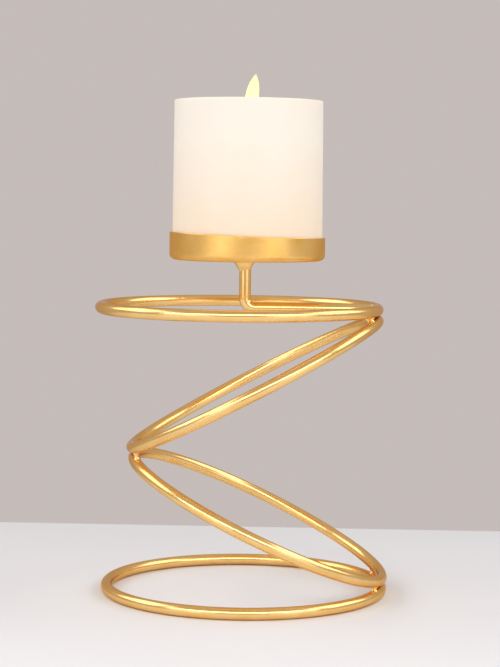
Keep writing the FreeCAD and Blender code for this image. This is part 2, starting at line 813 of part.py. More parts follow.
def core_housing():
    """Turn the tube that stands on the board and carries the coil and the flame."""
    body = new_body("core_housing")
    profile = new_sketch(body, "core_profile", "XZ_Plane")
    inner = "core_dia / 2 - core_wall"
    outer = "core_dia / 2"
    flange = "core_flange_dia / 2"
    top = f"{DECK_UNDERSIDE} - {BOARD_TOP}"
    add_outline(profile, [
        (inner, "0"),
        (flange, "0"),
        (flange, "core_flange_thickness"),
        (outer, "core_flange_thickness"),
        (outer, top),
        (inner, top),
        (inner, f"{CORE_FLOOR} + core_floor_thickness"),
        ("lead_hole_dia / 2", f"{CORE_FLOOR} + core_floor_thickness"),
        ("lead_hole_dia / 2", CORE_FLOOR),
        (inner, CORE_FLOOR),
    ])
    revolve(body, profile)
    bind(body, Placement__Base__z=f"{CANDLE_BASE} + {BOARD_TOP}")
    return body


def coil_bobbin():
    """Turn the spool of the drive coil."""
    body = new_body("coil_bobbin")
    profile = new_sketch(body, "bobbin_profile", "XZ_Plane")
    rim = f"{COIL_DIA} / 2"
    neck = "coil_core_dia / 2"
    add_outline(profile, [
        ("0", "0"),
        (rim, "0"),
        (rim, "bobbin_flange"),
        (neck, "bobbin_flange"),
        (neck, f"{COIL_HEIGHT} - bobbin_flange"),
        (rim, f"{COIL_HEIGHT} - bobbin_flange"),
        (rim, COIL_HEIGHT),
        ("0", COIL_HEIGHT),
    ])
    revolve(body, profile)
    bind(body, Placement__Base__z=f"{CANDLE_BASE} + {COIL_BASE}")
    return body


def coil_winding():
    """Make the winding between the spool's flanges."""
    body = new_body("coil_winding")
    profile = new_sketch(body, "winding_profile", "XZ_Plane")
    inner = "coil_core_dia / 2"
    outer = f"{COIL_DIA} / 2 - bobbin_flange / 2"
    add_outline(profile, [
        (inner, "bobbin_flange"),
        (outer, "bobbin_flange"),
        (outer, f"{COIL_HEIGHT} - bobbin_flange"),
        (inner, f"{COIL_HEIGHT} - bobbin_flange"),
    ])
    revolve(body, profile)
    bind(body, Placement__Base__z=f"{CANDLE_BASE} + {COIL_BASE}")
    return body


def flame_carrier():
    """Make the cap of the core, with a slot for the flame and ears for its pivot."""
    body = new_body("flame_carrier")
    deck = new_sketch(body, "deck_disc", "XY_Plane")
    add_circle(deck, "core_dia")
    pad(body, deck, "deck_thickness")
    ears = new_sketch(body, "pivot_ears", "XY_Plane")
    for along in (-1, 1):
        add_rectangle(
            ears,
            "ear_width",
            "ear_thickness",
            "0",
            f"{along} * (slot_width + ear_thickness) / 2",
        )
    pad(body, ears, "deck_thickness + ear_top")
    slot = new_sketch(body, "deck_slot", "XY_Plane")
    add_rectangle(slot, "slot_length", "slot_width")
    pocket(body, slot, "deck_thickness")
    bore = new_sketch(body, "pivot_bore", "XZ_Plane")
    add_circle(bore, "pivot_dia", "0", "deck_thickness + pivot_rise")
    pocket(body, bore, "core_dia", symmetric=True)
    bind(body, Placement__Base__z=f"{CANDLE_BASE} + {DECK_UNDERSIDE}")
    return body


def flame_pivot_wire():
    """Make the steel wire that the flame hangs on."""
    body = new_body("flame_pivot_wire")
    wire = new_sketch(body, "pivot_round", "XZ_Plane")
    add_circle(wire, "pivot_dia")
    pad(body, wire, "slot_width + 2 * ear_thickness", symmetric=True)
    bind(body, Placement__Base__z=f"{CANDLE_BASE} + {PIVOT}")
    return body


def led():
    """Turn the light-emitting diode: flange, barrel and dome."""
    body = new_body("led")
    profile = new_sketch(body, "led_profile", "XZ_Plane")
    barrel = "led_dia / 2"
    shoulder = "led_height - led_dia / 2"
    add_outline(profile, [
        ("0", "0"),
        ("led_flange_dia / 2", "0"),
        ("led_flange_dia / 2", "led_flange_height"),
        (barrel, "led_flange_height"),
        (barrel, shoulder, (shoulder, False)),
        ("0", "led_height"),
    ])
    revolve(body, profile)
    bind(
        body,
        Placement__Base__y=f"0 - {LED_OFFSET}",
        Placement__Base__z=f"{CANDLE_BASE} + {DECK_TOP}",
    )
    return body


def flame():
    """Make the leaf-shaped flame with its eye on the pivot and its tail below it."""
    body = new_body("flame")
    half_neck = "flame_neck_width / 2"
    half_belly = "flame_width / 2"
    blade = new_sketch(body, "flame_blade", "XZ_Plane")
    bind(blade, AttachmentOffset__Rotation__Angle="(0 - flame_lean) * 1 deg")
    add_outline(blade, [
        (half_neck, "0"),
        (half_neck, "flame_neck_length", ("flame_belly", False)),
        (half_belly, "flame_belly", ("flame_belly", False)),
        ("0", "flame_length", ("flame_belly", False)),
        (f"0 - {half_belly}", "flame_belly", ("flame_belly", False)),
        (f"0 - {half_neck}", "flame_neck_length"),
        (f"0 - {half_neck}", "0"),
    ])
    pad(body, blade, "flame_thickness", symmetric=True)
    eye = new_sketch(body, "flame_eye", "XZ_Plane")
    add_circle(eye, "flame_eye_dia")
    pad(body, eye, "flame_thickness", symmetric=True)
    tail = new_sketch(body, "flame_tail", "XZ_Plane")
    bind(tail, AttachmentOffset__Rotation__Angle="(0 - tail_lean) * 1 deg")
    add_rectangle(tail, "tail_width", TAIL_LENGTH, "0", f"0 - {TAIL_LENGTH} / 2")
    pad(body, tail, "flame_thickness", symmetric=True)
    bore = new_sketch(body, "flame_bore", "XZ_Plane")
    add_circle(bore, "pivot_dia + 2 * pivot_bore_gap")
    pocket(body, bore, "slot_width", symmetric=True)
    bind(body, Placement__Base__z=f"{CANDLE_BASE} + {PIVOT}")
    return body


def flame_magnet():
    """Make the small round magnet under the flame's tail."""
    body = new_body("flame_magnet")
    disc = new_sketch(body, "magnet_disc", "XY_Plane")
    add_circle(disc, "magnet_dia")
    pad(body, disc, "magnet_height")
    body.Placement.Rotation = FreeCAD.Rotation(FreeCAD.Vector(0, 1, 0), 1)
    reach = f"({TAIL_LENGTH} + magnet_height)"
    bind(
        body,
        Placement__Rotation__Angle="tail_lean * 1 deg",
        Placement__Base__x=f"0 - {reach} * sin(tail_lean * 1 deg)",
        Placement__Base__z=f"{CANDLE_BASE} + {PIVOT} - {reach} * cos(tail_lean * 1 deg)",
    )
    return body


def holder_pieces():
    """Make the rings, welds, stem and cup from the base upwards."""
    rings = [wire_ring(name) for name in CENTRES]
    base, lower, upper, top = rings
    for body, side, facing, weld in (
        (base, 1, 1, "right"),
        (lower, 1, -1, "right"),
        (lower, -1, 1, "left"),
        (upper, -1, -1, "left"),
        (upper, 1, 1, "top"),
        (top, 1, -1, "top"),
    ):
        weld_flat(body, side, facing, weld)
    return rings + [
        tack_beads("weld_base_right", "base_ring", "lower_ring", 1),
        tack_beads("weld_mid_left", "lower_ring", "upper_ring", -1),
        tack_beads("weld_top_right", "upper_ring", "top_ring", 1),
        bent_stem(),
        weld_stem_to_ring(),
        weld_stem_to_cup(),
        cup(),
    ]


def candle_pieces():
    """Make the candle's shell and what works inside it, from the base upwards."""
    return [
        wax_shell(),
        base_plate(),
        battery_cover(),
        cover_screw(),
        battery_tray(),
        battery("battery_rear", 1),
        battery("battery_front", -1),
        contact_strip("contact_left", -1),
        contact_strip("contact_right", 1),
        switch_housing(),
        power_switch(),
        circuit_board(),
        core_housing(),
        coil_bobbin(),
        coil_winding(),
        flame_carrier(),
        flame_pivot_wire(),
        led(),
        flame(),
        flame_magnet(),
    ]


pieces = holder_pieces() + candle_pieces()
document.recompute()

# Nothing is written until every object and every shape is sound
for thing in document.Objects:
    if "Invalid" in thing.State or "Error" in thing.State:
        raise ValueError(f"{thing.Name} failed: {thing.State}")
os.makedirs("parts", exist_ok=True)
for piece in pieces:
    if piece.Shape.isNull() or not piece.Shape.isValid():
        raise ValueError(f"{piece.Label} has no sound shape")
for piece in pieces:
    piece.Shape.exportStep(f"parts/{piece.Label}.step")
    print(f"{piece.Label}: {len(piece.Shape.Solids)} solids, {piece.Shape.Volume:.1f} mm3")
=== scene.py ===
"""Looks of a spiral wire candle holder with its flameless pillar candle.

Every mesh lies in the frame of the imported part: metres, origin under the middle of the base
ring and level with its underside, +Z up, +X to the right in the front view, +Y to the rear.
Where a docstring names no unit, lengths are in metres and angles in degrees.
"""

import logging
import math
from dataclasses import dataclass
from enum import Enum

import bpy
import numpy as np
from mathutils import Matrix, Vector


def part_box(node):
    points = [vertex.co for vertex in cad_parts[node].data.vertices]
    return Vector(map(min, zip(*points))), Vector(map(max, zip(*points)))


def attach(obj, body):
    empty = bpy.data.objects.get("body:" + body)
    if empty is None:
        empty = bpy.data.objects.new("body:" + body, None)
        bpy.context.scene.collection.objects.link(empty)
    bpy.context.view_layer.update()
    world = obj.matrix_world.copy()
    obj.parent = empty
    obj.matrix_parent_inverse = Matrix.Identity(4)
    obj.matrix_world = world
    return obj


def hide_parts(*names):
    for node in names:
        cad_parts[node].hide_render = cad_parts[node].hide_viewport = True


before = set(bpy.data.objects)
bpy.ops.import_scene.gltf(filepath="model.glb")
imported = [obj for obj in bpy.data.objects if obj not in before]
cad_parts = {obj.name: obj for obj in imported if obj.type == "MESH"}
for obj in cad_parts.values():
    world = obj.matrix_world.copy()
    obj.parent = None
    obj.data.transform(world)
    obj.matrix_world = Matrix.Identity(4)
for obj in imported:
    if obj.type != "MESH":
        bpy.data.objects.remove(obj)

LOG = logging.getLogger("candle_holder")
MM = 0.001
TURN = 2 * math.pi
PHOTO_HEIGHT = 667
PLACE = "surface_place"

Colour = tuple[float, float, float]
Array = np.ndarray
Socket = bpy.types.NodeSocket
Material = bpy.types.Material
Piece = bpy.types.Object


class Body(str, Enum):
    """The moving bodies that new pieces ride on."""

    HOLDER = "holder"
    FLAME = "flame_leaf"


class Slot(str, Enum):
    """Names of the material slots that the new pieces fall under."""

    GOLD = "gold_plate"
    FLAME = "flame_film"


class Side(int, Enum):
    """The left or the right, seen from the front."""

    LEFT = -1
    RIGHT = 1


class Facing(int, Enum):
    """Whether a pressed flat looks down or up."""

    DOWN = -1
    UP = 1


def ripple(angle: Array, waves: tuple[int, ...], seed: int) -> Array:
    """Return a smooth wandering line that closes on itself, between -1 and 1.

    The line is the mean of cos(k * angle + phase) over the wave counts k, with seeded phases.

    Args:
        angle: Angles in radians.
        waves: How many whole waves each part of the line has in a turn.
        seed: Chooses the phases.

    Returns:
        One value for each angle.
    """
    phases = np.random.default_rng(seed).uniform(0, TURN, len(waves))
    return sum(np.cos(count * angle + phase) for count, phase in zip(waves, phases)) / len(waves)


def smooth_step(value: Array, low: float, high: float) -> Array:
    """Return 0 below low, 1 above high and the cubic 3t^2 - 2t^3 between them."""
    share = np.clip((value - low) / (high - low), 0, 1)
    return share * share * (3 - 2 * share)


def bell(value: Array, middle: float, width: float) -> Array:
    """Return exp(-((value - middle) / width)^2), a soft bump one unit high."""
    return np.exp(-(((value - middle) / width) ** 2))


def fuller(value: Array, power: float = 0.85) -> Array:
    """Return sign(value) * |value|^power, which fills out the corners of an oval."""
    return np.sign(value) * np.abs(value) ** power


def whole_turn(steps: int) -> Array:
    """Return the angles of a whole turn cut into equal steps, in radians."""
    return np.arange(steps) * TURN / steps


def away_from(angle: Array, middle: float) -> Array:
    """Return how far angles lie from a middle one the short way round, in radians."""
    return np.angle(np.exp(1j * (angle - middle)))


def joined(across: Array, along: Array, height: Array) -> Array:
    """Return points from their coordinates, each a row, a column or a whole grid of values."""
    return np.stack(np.broadcast_arrays(across, along, height), axis=-1)


def turned_profile(radii: Array, heights: Array, angle: Array) -> Array:
    """Return the surface (r cos a, r sin a, z) of a profile (r, z) about the Z axis, a in radians."""
    return joined(radii * np.cos(angle), radii * np.sin(angle), heights)


def capped(points: Array, first: Array, last: Array) -> Array:
    """Return a grid with a row more at each end, in which the first or the last point repeats."""
    ends = [np.repeat(point[None, None], points.shape[1], axis=1) for point in (first, last)]
    return np.concatenate([ends[0], points, ends[1]])


def turned_about_y(points: Array, degrees: float) -> Array:
    """Return points turned about the Y axis: x cos a + z sin a, y, z cos a - x sin a.

    Args:
        points: Points whose last axis is x, y and z.
        degrees: The angle a; a positive one lowers what lies at +X.

    Returns:
        The turned points, in the same form.
    """
    turn = math.radians(degrees)
    across, along, height = np.moveaxis(points, -1, 0)
    new_across = across * math.cos(turn) + height * math.sin(turn)
    return joined(new_across, along, height * math.cos(turn) - across * math.sin(turn))


def rounded_path(corners: list[tuple[float, float, float]], steps: int) -> Array:
    """Return an open outline through corners, each rounded by an arc of its own radius.

    An arc is (sin((1 - t) s) * start + sin(t s) * end) / sin s about its centre, with s its sweep.

    Args:
        corners: Across, height and radius of each corner; the two ends have radius 0.
        steps: How many points each arc has.

    Returns:
        Points by 2.
    """
    found = []
    share = np.linspace(0, 1, steps)[:, None]
    for index, (across, height, radius) in enumerate(corners):
        here = np.array([across, height])
        if radius == 0:
            found.append(here[None])
            continue
        before = np.array(corners[index - 1][:2]) - here
        after = np.array(corners[index + 1][:2]) - here
        before, after = before / np.linalg.norm(before), after / np.linalg.norm(after)
        half = math.acos(float(np.clip(before @ after, -1, 1))) / 2
        middle_way = (before + after) / np.linalg.norm(before + after)
        centre = here + middle_way * radius / math.sin(half)
        start = here + before * radius / math.tan(half) - centre
        end = here + after * radius / math.tan(half) - centre
        sweep = math.acos(float(np.clip(start @ end / radius**2, -1, 1)))
        arc = (np.sin((1 - share) * sweep) * start + np.sin(share * sweep) * end) / math.sin(sweep)
        found.append(centre + arc)
    return np.concatenate(found)


def filled_path(outline: Array, spacing: float) -> Array:
    """Return an outline with more points on its long runs.

    Args:
        outline: Points by 2.
        spacing: The most that neighbours may lie apart.

    Returns:
        Points by 2.
    """
    pieces = []
    for start, end in zip(outline, outline[1:]):
        count = max(1, int(np.ceil(np.linalg.norm(end - start) / spacing)))
        pieces.append(start + (end - start) * np.linspace(0, 1, count, endpoint=False)[:, None])
    return np.concatenate([*pieces, outline[-1:]])


def enclosed_volume(vertices: Array, faces: Array) -> float:
    """Return the signed volume inside a closed surface: the sum of a . (b x c) / 6.

    Args:
        vertices: Vertices by 3.
        faces: Faces by 4 vertex numbers; each face counts as two triangles a, b, c.

    Returns:
        The volume, positive where the faces look outwards.
    """
    first, second, third, fourth = (vertices[faces[:, index]] for index in range(4))
    halves = ((first, second, third), (first, third, fourth))
    return sum(float(np.sum(a * np.cross(b, c))) for a, b, c in halves) / 6


def direction(azimuth: float, elevation: float) -> Vector:
    """Return (sin a cos e, -cos a cos e, sin e), with a to the right of the front and e upwards."""
    side, rise = math.radians(azimuth), math.radians(elevation)
    return Vector((math.sin(side) * math.cos(rise), -math.cos(side) * math.cos(rise), math.sin(rise)))


def new_object(name: str, data: bpy.types.ID) -> Piece:
    """Return a new object in the scene.

    Args:
        name: The object's name.
        data: Its mesh, lamp or camera.

    Returns:
        The object, at the origin.
    """
    made = bpy.data.objects.new(name, data)
    bpy.context.scene.collection.objects.link(made)
    return made


@dataclass
class Grid:
    """A closed surface given as rows and columns of points, whose columns close.

    Attributes:
        points: Rows by columns by 3.
        rows_close: Whether the last row joins the first. If it doesn't, the first and the last
            row each repeat one point, a pole.
        place: Optional value for the surface's own pattern, in the same form as the points.
    """

    points: Array
    rows_close: bool = False
    place: Array | None = None

    def kept(self) -> Array:
        """Return which points become vertices: all but the repeats at the poles.

        Returns:
            Rows by columns of true or false.
        """
        kept = np.ones(self.points.shape[:2], bool)
        if not self.rows_close:
            kept[[0, -1], 1:] = False
        return kept

    def faces(self) -> list[list[int]]:
        """Return the faces, which look outwards: triangles at the poles and quads elsewhere.

        Returns:
            The vertex numbers of each face.
        """
        kept = self.kept()
        numbers = np.cumsum(kept).reshape(kept.shape) - 1
        if self.rows_close:
            numbers = np.vstack([numbers, numbers[:1]])
        numbers = np.hstack([numbers, numbers[:, :1]])
        loops = [numbers[:-1, :-1], numbers[:-1, 1:], numbers[1:, 1:], numbers[1:, :-1]]
        quads = np.stack(loops, axis=-1)
        volume = enclosed_volume(self.points[kept], quads.reshape(-1, 4))
        order = -1 if volume < 0 else 1
        parts = [quads.reshape(-1, 4)]
        if not self.rows_close:
            parts = [quads[0][:, [0, 2, 3]], quads[1:-1].reshape(-1, 4), quads[-1][:, [0, 1, 2]]]
        return [face for part in parts for face in part[:, ::order].tolist()]

    def build(self, name: str) -> Piece:
        """Make the smooth mesh object.

        Args:
            name: The piece's name.

        Returns:
            The new object at the origin.
        """
        kept = self.kept()
        mesh = bpy.data.meshes.new(name)
        mesh.from_pydata(self.points[kept].tolist(), [], self.faces())
        mesh.polygons.foreach_set("use_smooth", np.ones(len(mesh.polygons), bool))
        if self.place is not None:
            own = mesh.attributes.new(PLACE, "FLOAT_VECTOR", "POINT")
            own.data.foreach_set("vector", self.place[kept].astype(np.float32).ravel())
        mesh.update()
        return new_object(name, mesh)


class Graph:
    """A short way of placing and joining the nodes of one material, world or node group."""

    def __init__(self, tree: bpy.types.NodeTree) -> None:
        """Take the tree that the nodes go into."""
        self.tree = tree

    def feed(self, socket: Socket, value: object) -> None:
        """Give a socket a plain value, or join another node's output to it.

        Args:
            socket: The input.
            value: A number, a vector or colour of three numbers, or an output.
        """
        if isinstance(value, Socket):
            self.tree.links.new(value, socket)
            return
        socket.default_value = (*value, 1.0) if socket.type == "RGBA" else value

    def give(self, node: bpy.types.Node, **values: object) -> None:
        """Feed a node's inputs by name; an underscore in a name stands for a space."""
        for label, value in values.items():
            self.feed(node.inputs[label.replace("_", " ")], value)

    def add(self, kind: str, inputs: dict | None = None, **settings: object) -> bpy.types.Node:
        """Place a node.

        Args:
            kind: Blender's type name of the node, after "ShaderNode".
            inputs: Socket name or number to a plain value or to another node's output.
            settings: The node's own properties.

        Returns:
            The new node.
        """
        node = self.tree.nodes.new(f"ShaderNode{kind}")
        for key, value in settings.items():
            setattr(node, key, value)
        for key, value in (inputs or {}).items():
            self.feed(node.inputs[key], value)
        return node

    def math(self, operation: str, *values: object, clamp: bool = False) -> Socket:
        """Return the result of a Math node with these values, held from 0 to 1 if it is to clamp."""
        inputs = dict(enumerate(values))
        return self.add("Math", inputs, operation=operation, use_clamp=clamp).outputs[0]

    def noise(self, place: Socket, scale: object, detail: float) -> Socket:
        """Return a noise that reads a place."""
        return self.add("TexNoise", {"Vector": place, "Scale": scale, "Detail": detail}).outputs["Fac"]

    def scaled(self, value: Socket, low: float, high: float, new_low: float, new_high: float) -> Socket:
        """Return a value carried from one range to another, and held inside it."""
        return self.add("MapRange", {
            "Value": value, "From Min": low, "From Max": high, "To Min": new_low, "To Max": new_high,
        }).outputs["Result"]

    def mixed(self, share: Socket, first: Colour, second: Colour) -> Socket:
        """Return two colours mixed by a share; the node numbers its colours 6, 7 and 2."""
        return self.add("Mix", {0: share, 6: first, 7: second}, data_type="RGBA").outputs[2]

    def ramp(self, value: Socket, stops: tuple[tuple[float, Colour], ...]) -> Socket:
        """Return a colour that follows a value.

        Args:
            value: The value, from 0 to 1.
            stops: Value and colour of each stop, in order.

        Returns:
            The colour.
        """
        node = self.add("ValToRGB", {"Fac": value})
        elements = node.color_ramp.elements
        while len(elements) < len(stops):
            elements.new(1.0)
        for element, (position, colour) in zip(elements, stops):
            element.position = position
            element.color = (*colour, 1.0)
        return node.outputs["Color"]

    def bump(self, height: Socket, distance: float, normal: Socket | None = None) -> Socket:
        """Return a normal from a height.

        Args:
            height: The height, from 0 to 1.
            distance: How far the height reaches.
            normal: The normal that it adds to, if there is one.

        Returns:
            The normal.
        """
        node = self.add("Bump", {"Height": height, "Distance": distance})
        if normal is not None:
            self.feed(node.inputs["Normal"], normal)
        return node.outputs["Normal"]


class EffectGroup:
    """A node group that is built once and placed in each material that uses it.

    Attributes:
        name: The group's name.
        vectors: Names of its vector inputs.
        numbers: Name and default of each of its number inputs.
        outputs: Names of its outputs, all of them numbers.
    """

    name: str
    vectors: tuple[str, ...]
    numbers: dict[str, float]
    outputs: tuple[str, ...]

    def tree(self) -> bpy.types.NodeTree:
        """Return the group's tree, built the first time that it is asked for.

        Returns:
            The tree.
        """
        found = bpy.data.node_groups.get(self.name)
        if found:
            return found
        tree = bpy.data.node_groups.new(self.name, "ShaderNodeTree")
        for label in self.vectors:
            tree.interface.new_socket(label, in_out="INPUT", socket_type="NodeSocketVector")
        for label, value in self.numbers.items():
            socket = tree.interface.new_socket(label, in_out="INPUT", socket_type="NodeSocketFloat")
            socket.default_value = value
        for label in self.outputs:
            tree.interface.new_socket(label, in_out="OUTPUT", socket_type="NodeSocketFloat")
        graph = Graph(tree)
        entry, leave = tree.nodes.new("NodeGroupInput"), tree.nodes.new("NodeGroupOutput")
        graph.give(leave, **self.wire(graph, entry.outputs))
        return tree

    def wire(self, graph: Graph, given: bpy.types.NodeOutputs) -> dict[str, Socket]:
        """Build the inside of the group from its inputs and return its outputs by name."""
        raise NotImplementedError

    def place(self, graph: Graph, **values: object) -> bpy.types.NodeOutputs:
        """Place the group in a material.

        Args:
            graph: The material's graph.
            values: What each input gets; an underscore in a name stands for a space.

        Returns:
            The placed group's outputs.
        """
        node = graph.tree.nodes.new("ShaderNodeGroup")
        node.node_tree = self.tree()
        graph.give(node, **values)
        return node.outputs


class SatinGrain(EffectGroup):
    """Fine grain and slow mottling: Height is Fine plus 0.6 of Tone, the slow noise."""

    name = "satin_grain"
    vectors = ("Position",)
    numbers = {"Grain Size": 1 * MM, "Mottle Size": 10 * MM}
    outputs = ("Fine", "Height", "Tone")

    def wire(self, graph: Graph, given: bpy.types.NodeOutputs) -> dict[str, Socket]:
        """Build the two noises, whose scale is one over their size.

        Args:
            graph: The group's graph.
            given: The group's inputs.

        Returns:
            The outputs by name.
        """
        place = given["Position"]
        fine = graph.noise(place, graph.math("DIVIDE", 1.0, given["Grain Size"]), 3.0)
        slow = graph.noise(place, graph.math("DIVIDE", 1.0, given["Mottle Size"]), 4.0)
        return {"Fine": fine, "Height": graph.math("MULTIPLY_ADD", slow, 0.6, fine), "Tone": slow}


class DrawnLines(EffectGroup):
    """Hairlines that run along a wire or round a sheet.

    The pattern reads a point on the unit circle of the wire's section, so it closes round the
    wire, and drifts slowly with the position along it.
    """

    name = "drawn_lines"
    vectors = ("Section", "Position")
    numbers = {"Lines": 14.0}
    outputs = ("Height",)

    def wire(self, graph: Graph, given: bpy.types.NodeOutputs) -> dict[str, Socket]:
        """Build a noise on the section whose fourth coordinate is a slow noise of the position.

        Args:
            graph: The group's graph.
            given: The group's inputs.

        Returns:
            The output by name.
        """
        lines = graph.add("TexNoise", {
            "Vector": given["Section"], "W": graph.noise(given["Position"], 30.0, 1.0),
            "Scale": given["Lines"], "Detail": 2.0,
        }, noise_dimensions="4D")
        return {"Height": lines.outputs["Fac"]}


GRAIN = SatinGrain()
LINES = DrawnLines()


class Shader:
    """A material in the making.

    Attributes:
        material: The material.
        graph: Its graph.
        node: Its Principled shader.
        place: The piece's own Object coordinates.
        grain: Outputs of its satin grain.
    """

    def __init__(self, name: str, grain: float, mottle: float) -> None:
        """Make the material and place its grain.

        Args:
            name: The material's name.
            grain: Size of the grain.
            mottle: Size of the slow patches.
        """
        self.material = bpy.data.materials.new(name)
        self.material.use_nodes = True
        self.graph = Graph(self.material.node_tree)
        self.node = self.material.node_tree.nodes["Principled BSDF"]
        self.place = self.graph.add("TexCoord").outputs["Object"]
        self.grain = GRAIN.place(self.graph, Position=self.place, Grain_Size=grain, Mottle_Size=mottle)

    def give(self, **values: object) -> None:
        """Feed the Principled shader's inputs by name; an underscore stands for a space."""
        self.graph.give(self.node, **values)

    def tone(self, low: float = 0.0, high: float = 1.0, reach: float = 0.2) -> Socket:
        """Return the mottling, which gets to low and high at that reach from its mean."""
        return self.graph.scaled(self.grain["Tone"], 0.5 - reach, 0.5 + reach, low, high)

    def rise(self, low: float, high: float, cloud: float) -> Socket:
        """Return how far up a point lies, (z - low) / (high - low), clouded by the mottling.

        Args:
            low: Height at which it is 0.
            high: Height at which it is 1.
            cloud: The most that the mottling adds or takes away.

        Returns:
            The value, from 0 to 1.
        """
        height = self.graph.add("SeparateXYZ", {"Vector": self.place}).outputs["Z"]
        plain = self.graph.scaled(height, low, high, 0.0, 1.0)
        return self.graph.math("ADD", plain, self.tone(-cloud, cloud), clamp=True)


@dataclass(frozen=True, kw_only=True)
class Finish:
    """A material whose roughness and relief follow its satin grain.

    Attributes:
        name: The material's name.
        smooth: Roughness where the grain is smoothest.
        rough: Roughness where it is roughest.
        grain: Size of the grain.
        mottle: Size of the slow patches.
        relief: Height of the grain.
    """

    name: str
    smooth: float
    rough: float
    grain: float
    mottle: float
    relief: float

    def colour(self, shader: Shader) -> None:
        """Give the shader the finish's own colours and values."""
        raise NotImplementedError

    def normal(self, shader: Shader) -> Socket:
        """Return the normal of the grain's relief."""
        return shader.graph.bump(shader.grain["Height"], self.relief)

    def material(self) -> Material:
        """Build the material.

        Returns:
            The new material.
        """
        shader = Shader(self.name, self.grain, self.mottle)
        rough = shader.graph.scaled(shader.grain["Fine"], 0.3, 0.7, self.smooth, self.rough)
        shader.give(Roughness=rough, Normal=self.normal(shader))
        self.colour(shader)
        return shader.material


@dataclass(frozen=True, kw_only=True)
class SatinGold(Finish):
    """Lacquered satin gold over steel, by default as it is on the wire.

    Attributes:
        light: Colour of the brighter patches.
        deep: Colour of the deeper patches.
        edge: Tint of what it mirrors at a grazing angle.
        coat: Weight of the lacquer.
        coat_roughness: Roughness of the lacquer.
        lines: How closely the hairlines lie, in lines to a unit of the surface's own place.
        line_relief: Height of the hairlines, in metres; 0 leaves them out.
    """

    name: str = "satin_gold_wire"
    smooth: float = 0.17
    rough: float = 0.23
    grain: float = 0.7 * MM
    mottle: float = 12 * MM
    relief: float = 0.001 * MM
    light: Colour = (0.96, 0.665, 0.275)
    deep: Colour = (0.93, 0.605, 0.220)
    edge: Colour = (0.80, 0.60, 0.42)
    coat: float = 0.06
    coat_roughness: float = 0.08
    lines: float = 7.0
    line_relief: float = 0.0012 * MM

    def colour(self, shader: Shader) -> None:
        """Give the shader mottled gold under its lacquer."""
        shader.give(
            Base_Color=shader.graph.mixed(shader.tone(reach=0.15), self.deep, self.light),
            Metallic=1.0, Specular_Tint=self.edge,
            Coat_Weight=self.coat, Coat_Roughness=self.coat_roughness)

    def normal(self, shader: Shader) -> Socket:
        """Return the normal of the grain's relief, and of the hairlines where there are some.

        Args:
            shader: The material in the making.

        Returns:
            The normal.
        """
        normal = super().normal(shader)
        if not self.line_relief:
            return normal
        section = shader.graph.add("Attribute", attribute_name=PLACE).outputs["Vector"]
        lines = LINES.place(shader.graph, Section=section, Position=shader.place, Lines=self.lines)
        return shader.graph.bump(lines["Height"], self.line_relief, normal)


@dataclass(frozen=True, kw_only=True)
class GlowingWax(Finish):
    """Ivory wax with a painted glow, as if lit faintly from inside, and warmer towards its foot.

    Attributes:
        foot: Height where the warm painted glow is strongest.
        head: Height where it has faded.
        cloud: How unevenly it fades.
        warm: Colour of the wax at the foot.
        pale: Colour of the wax at the head.
        glow_warm: Colour of the painted glow at the foot, as if lit from inside.
        glow_pale: Colour of that painted glow at the head.
        glow: Strength of that painted glow.
        milky: Share of the light that goes under the skin.
        depth: How deep it goes.
        spread: How far red, green and blue go, as shares of the depth.
    """

    name: str = "glowing_ivory_wax"
    foot: float
    head: float
    smooth: float = 0.42
    rough: float = 0.52
    grain: float = 1.6 * MM
    mottle: float = 30 * MM
    relief: float = 0.04 * MM
    cloud: float = 0.08
    warm: Colour = (0.73, 0.60, 0.46)
    pale: Colour = (0.72, 0.67, 0.605)
    glow_warm: Colour = (1.0, 0.72, 0.44)
    glow_pale: Colour = (1.0, 0.89, 0.72)
    glow: float = 0.15
    milky: float = 0.35
    depth: float = 4 * MM
    spread: Colour = (1.0, 0.6, 0.35)

    def colour(self, shader: Shader) -> None:
        """Give the shader milky wax whose colour and painted glow follow the height."""
        share = shader.rise(self.foot, self.head, self.cloud)
        # The emission paints a glow on the wax, which is no lamp, as if light came through it from
        # inside.
        shader.give(
            Base_Color=shader.graph.mixed(share, self.warm, self.pale),
            Emission_Color=shader.graph.mixed(share, self.glow_warm, self.glow_pale),
            Emission_Strength=self.glow, Subsurface_Weight=self.milky,
            Subsurface_Radius=self.spread, Subsurface_Scale=self.depth)


@dataclass(frozen=True, kw_only=True)
class FlameFilm(Finish):
    """Thin leaf, lit from below, with a painted glow: amber at its hidden root, then pale yellow, with
    an orange tip.

    Attributes:
        root: Height where the lit part starts.
        tip: Height of the tip.
        cloud: How unevenly the colours climb.
        glow: Strength of the painted glow that it gives off.
        stops: How far up each colour lies, from 0 to 1, and the colour.
    """

    name: str = "lit_flame_film"
    root: float
    tip: float
    smooth: float = 0.3
    rough: float = 0.4
    grain: float = 0.8 * MM
    mottle: float = 4 * MM
    relief: float = 0.03 * MM
    cloud: float = 0.05
    glow: float = 0.45
    stops: tuple[tuple[float, Colour], ...] = (
        (0.0, (0.90, 0.50, 0.15)),
        (0.46, (0.95, 0.62, 0.25)),
        (0.58, (1.0, 0.86, 0.42)),
        (0.80, (1.0, 0.82, 0.38)),
        (0.91, (1.0, 0.62, 0.34)),
        (1.0, (0.88, 0.40, 0.26)),
    )

    def colour(self, shader: Shader) -> None:
        """Give the shader a colour that follows the height, and the same colour as its painted glow."""
        body = shader.graph.ramp(shader.rise(self.root, self.tip, self.cloud), self.stops)
        # The ramp's colour is the film's colour and also a painted glow that stands in for the light
        # from below.
        shader.give(Base_Color=body, Emission_Color=body, Emission_Strength=self.glow)


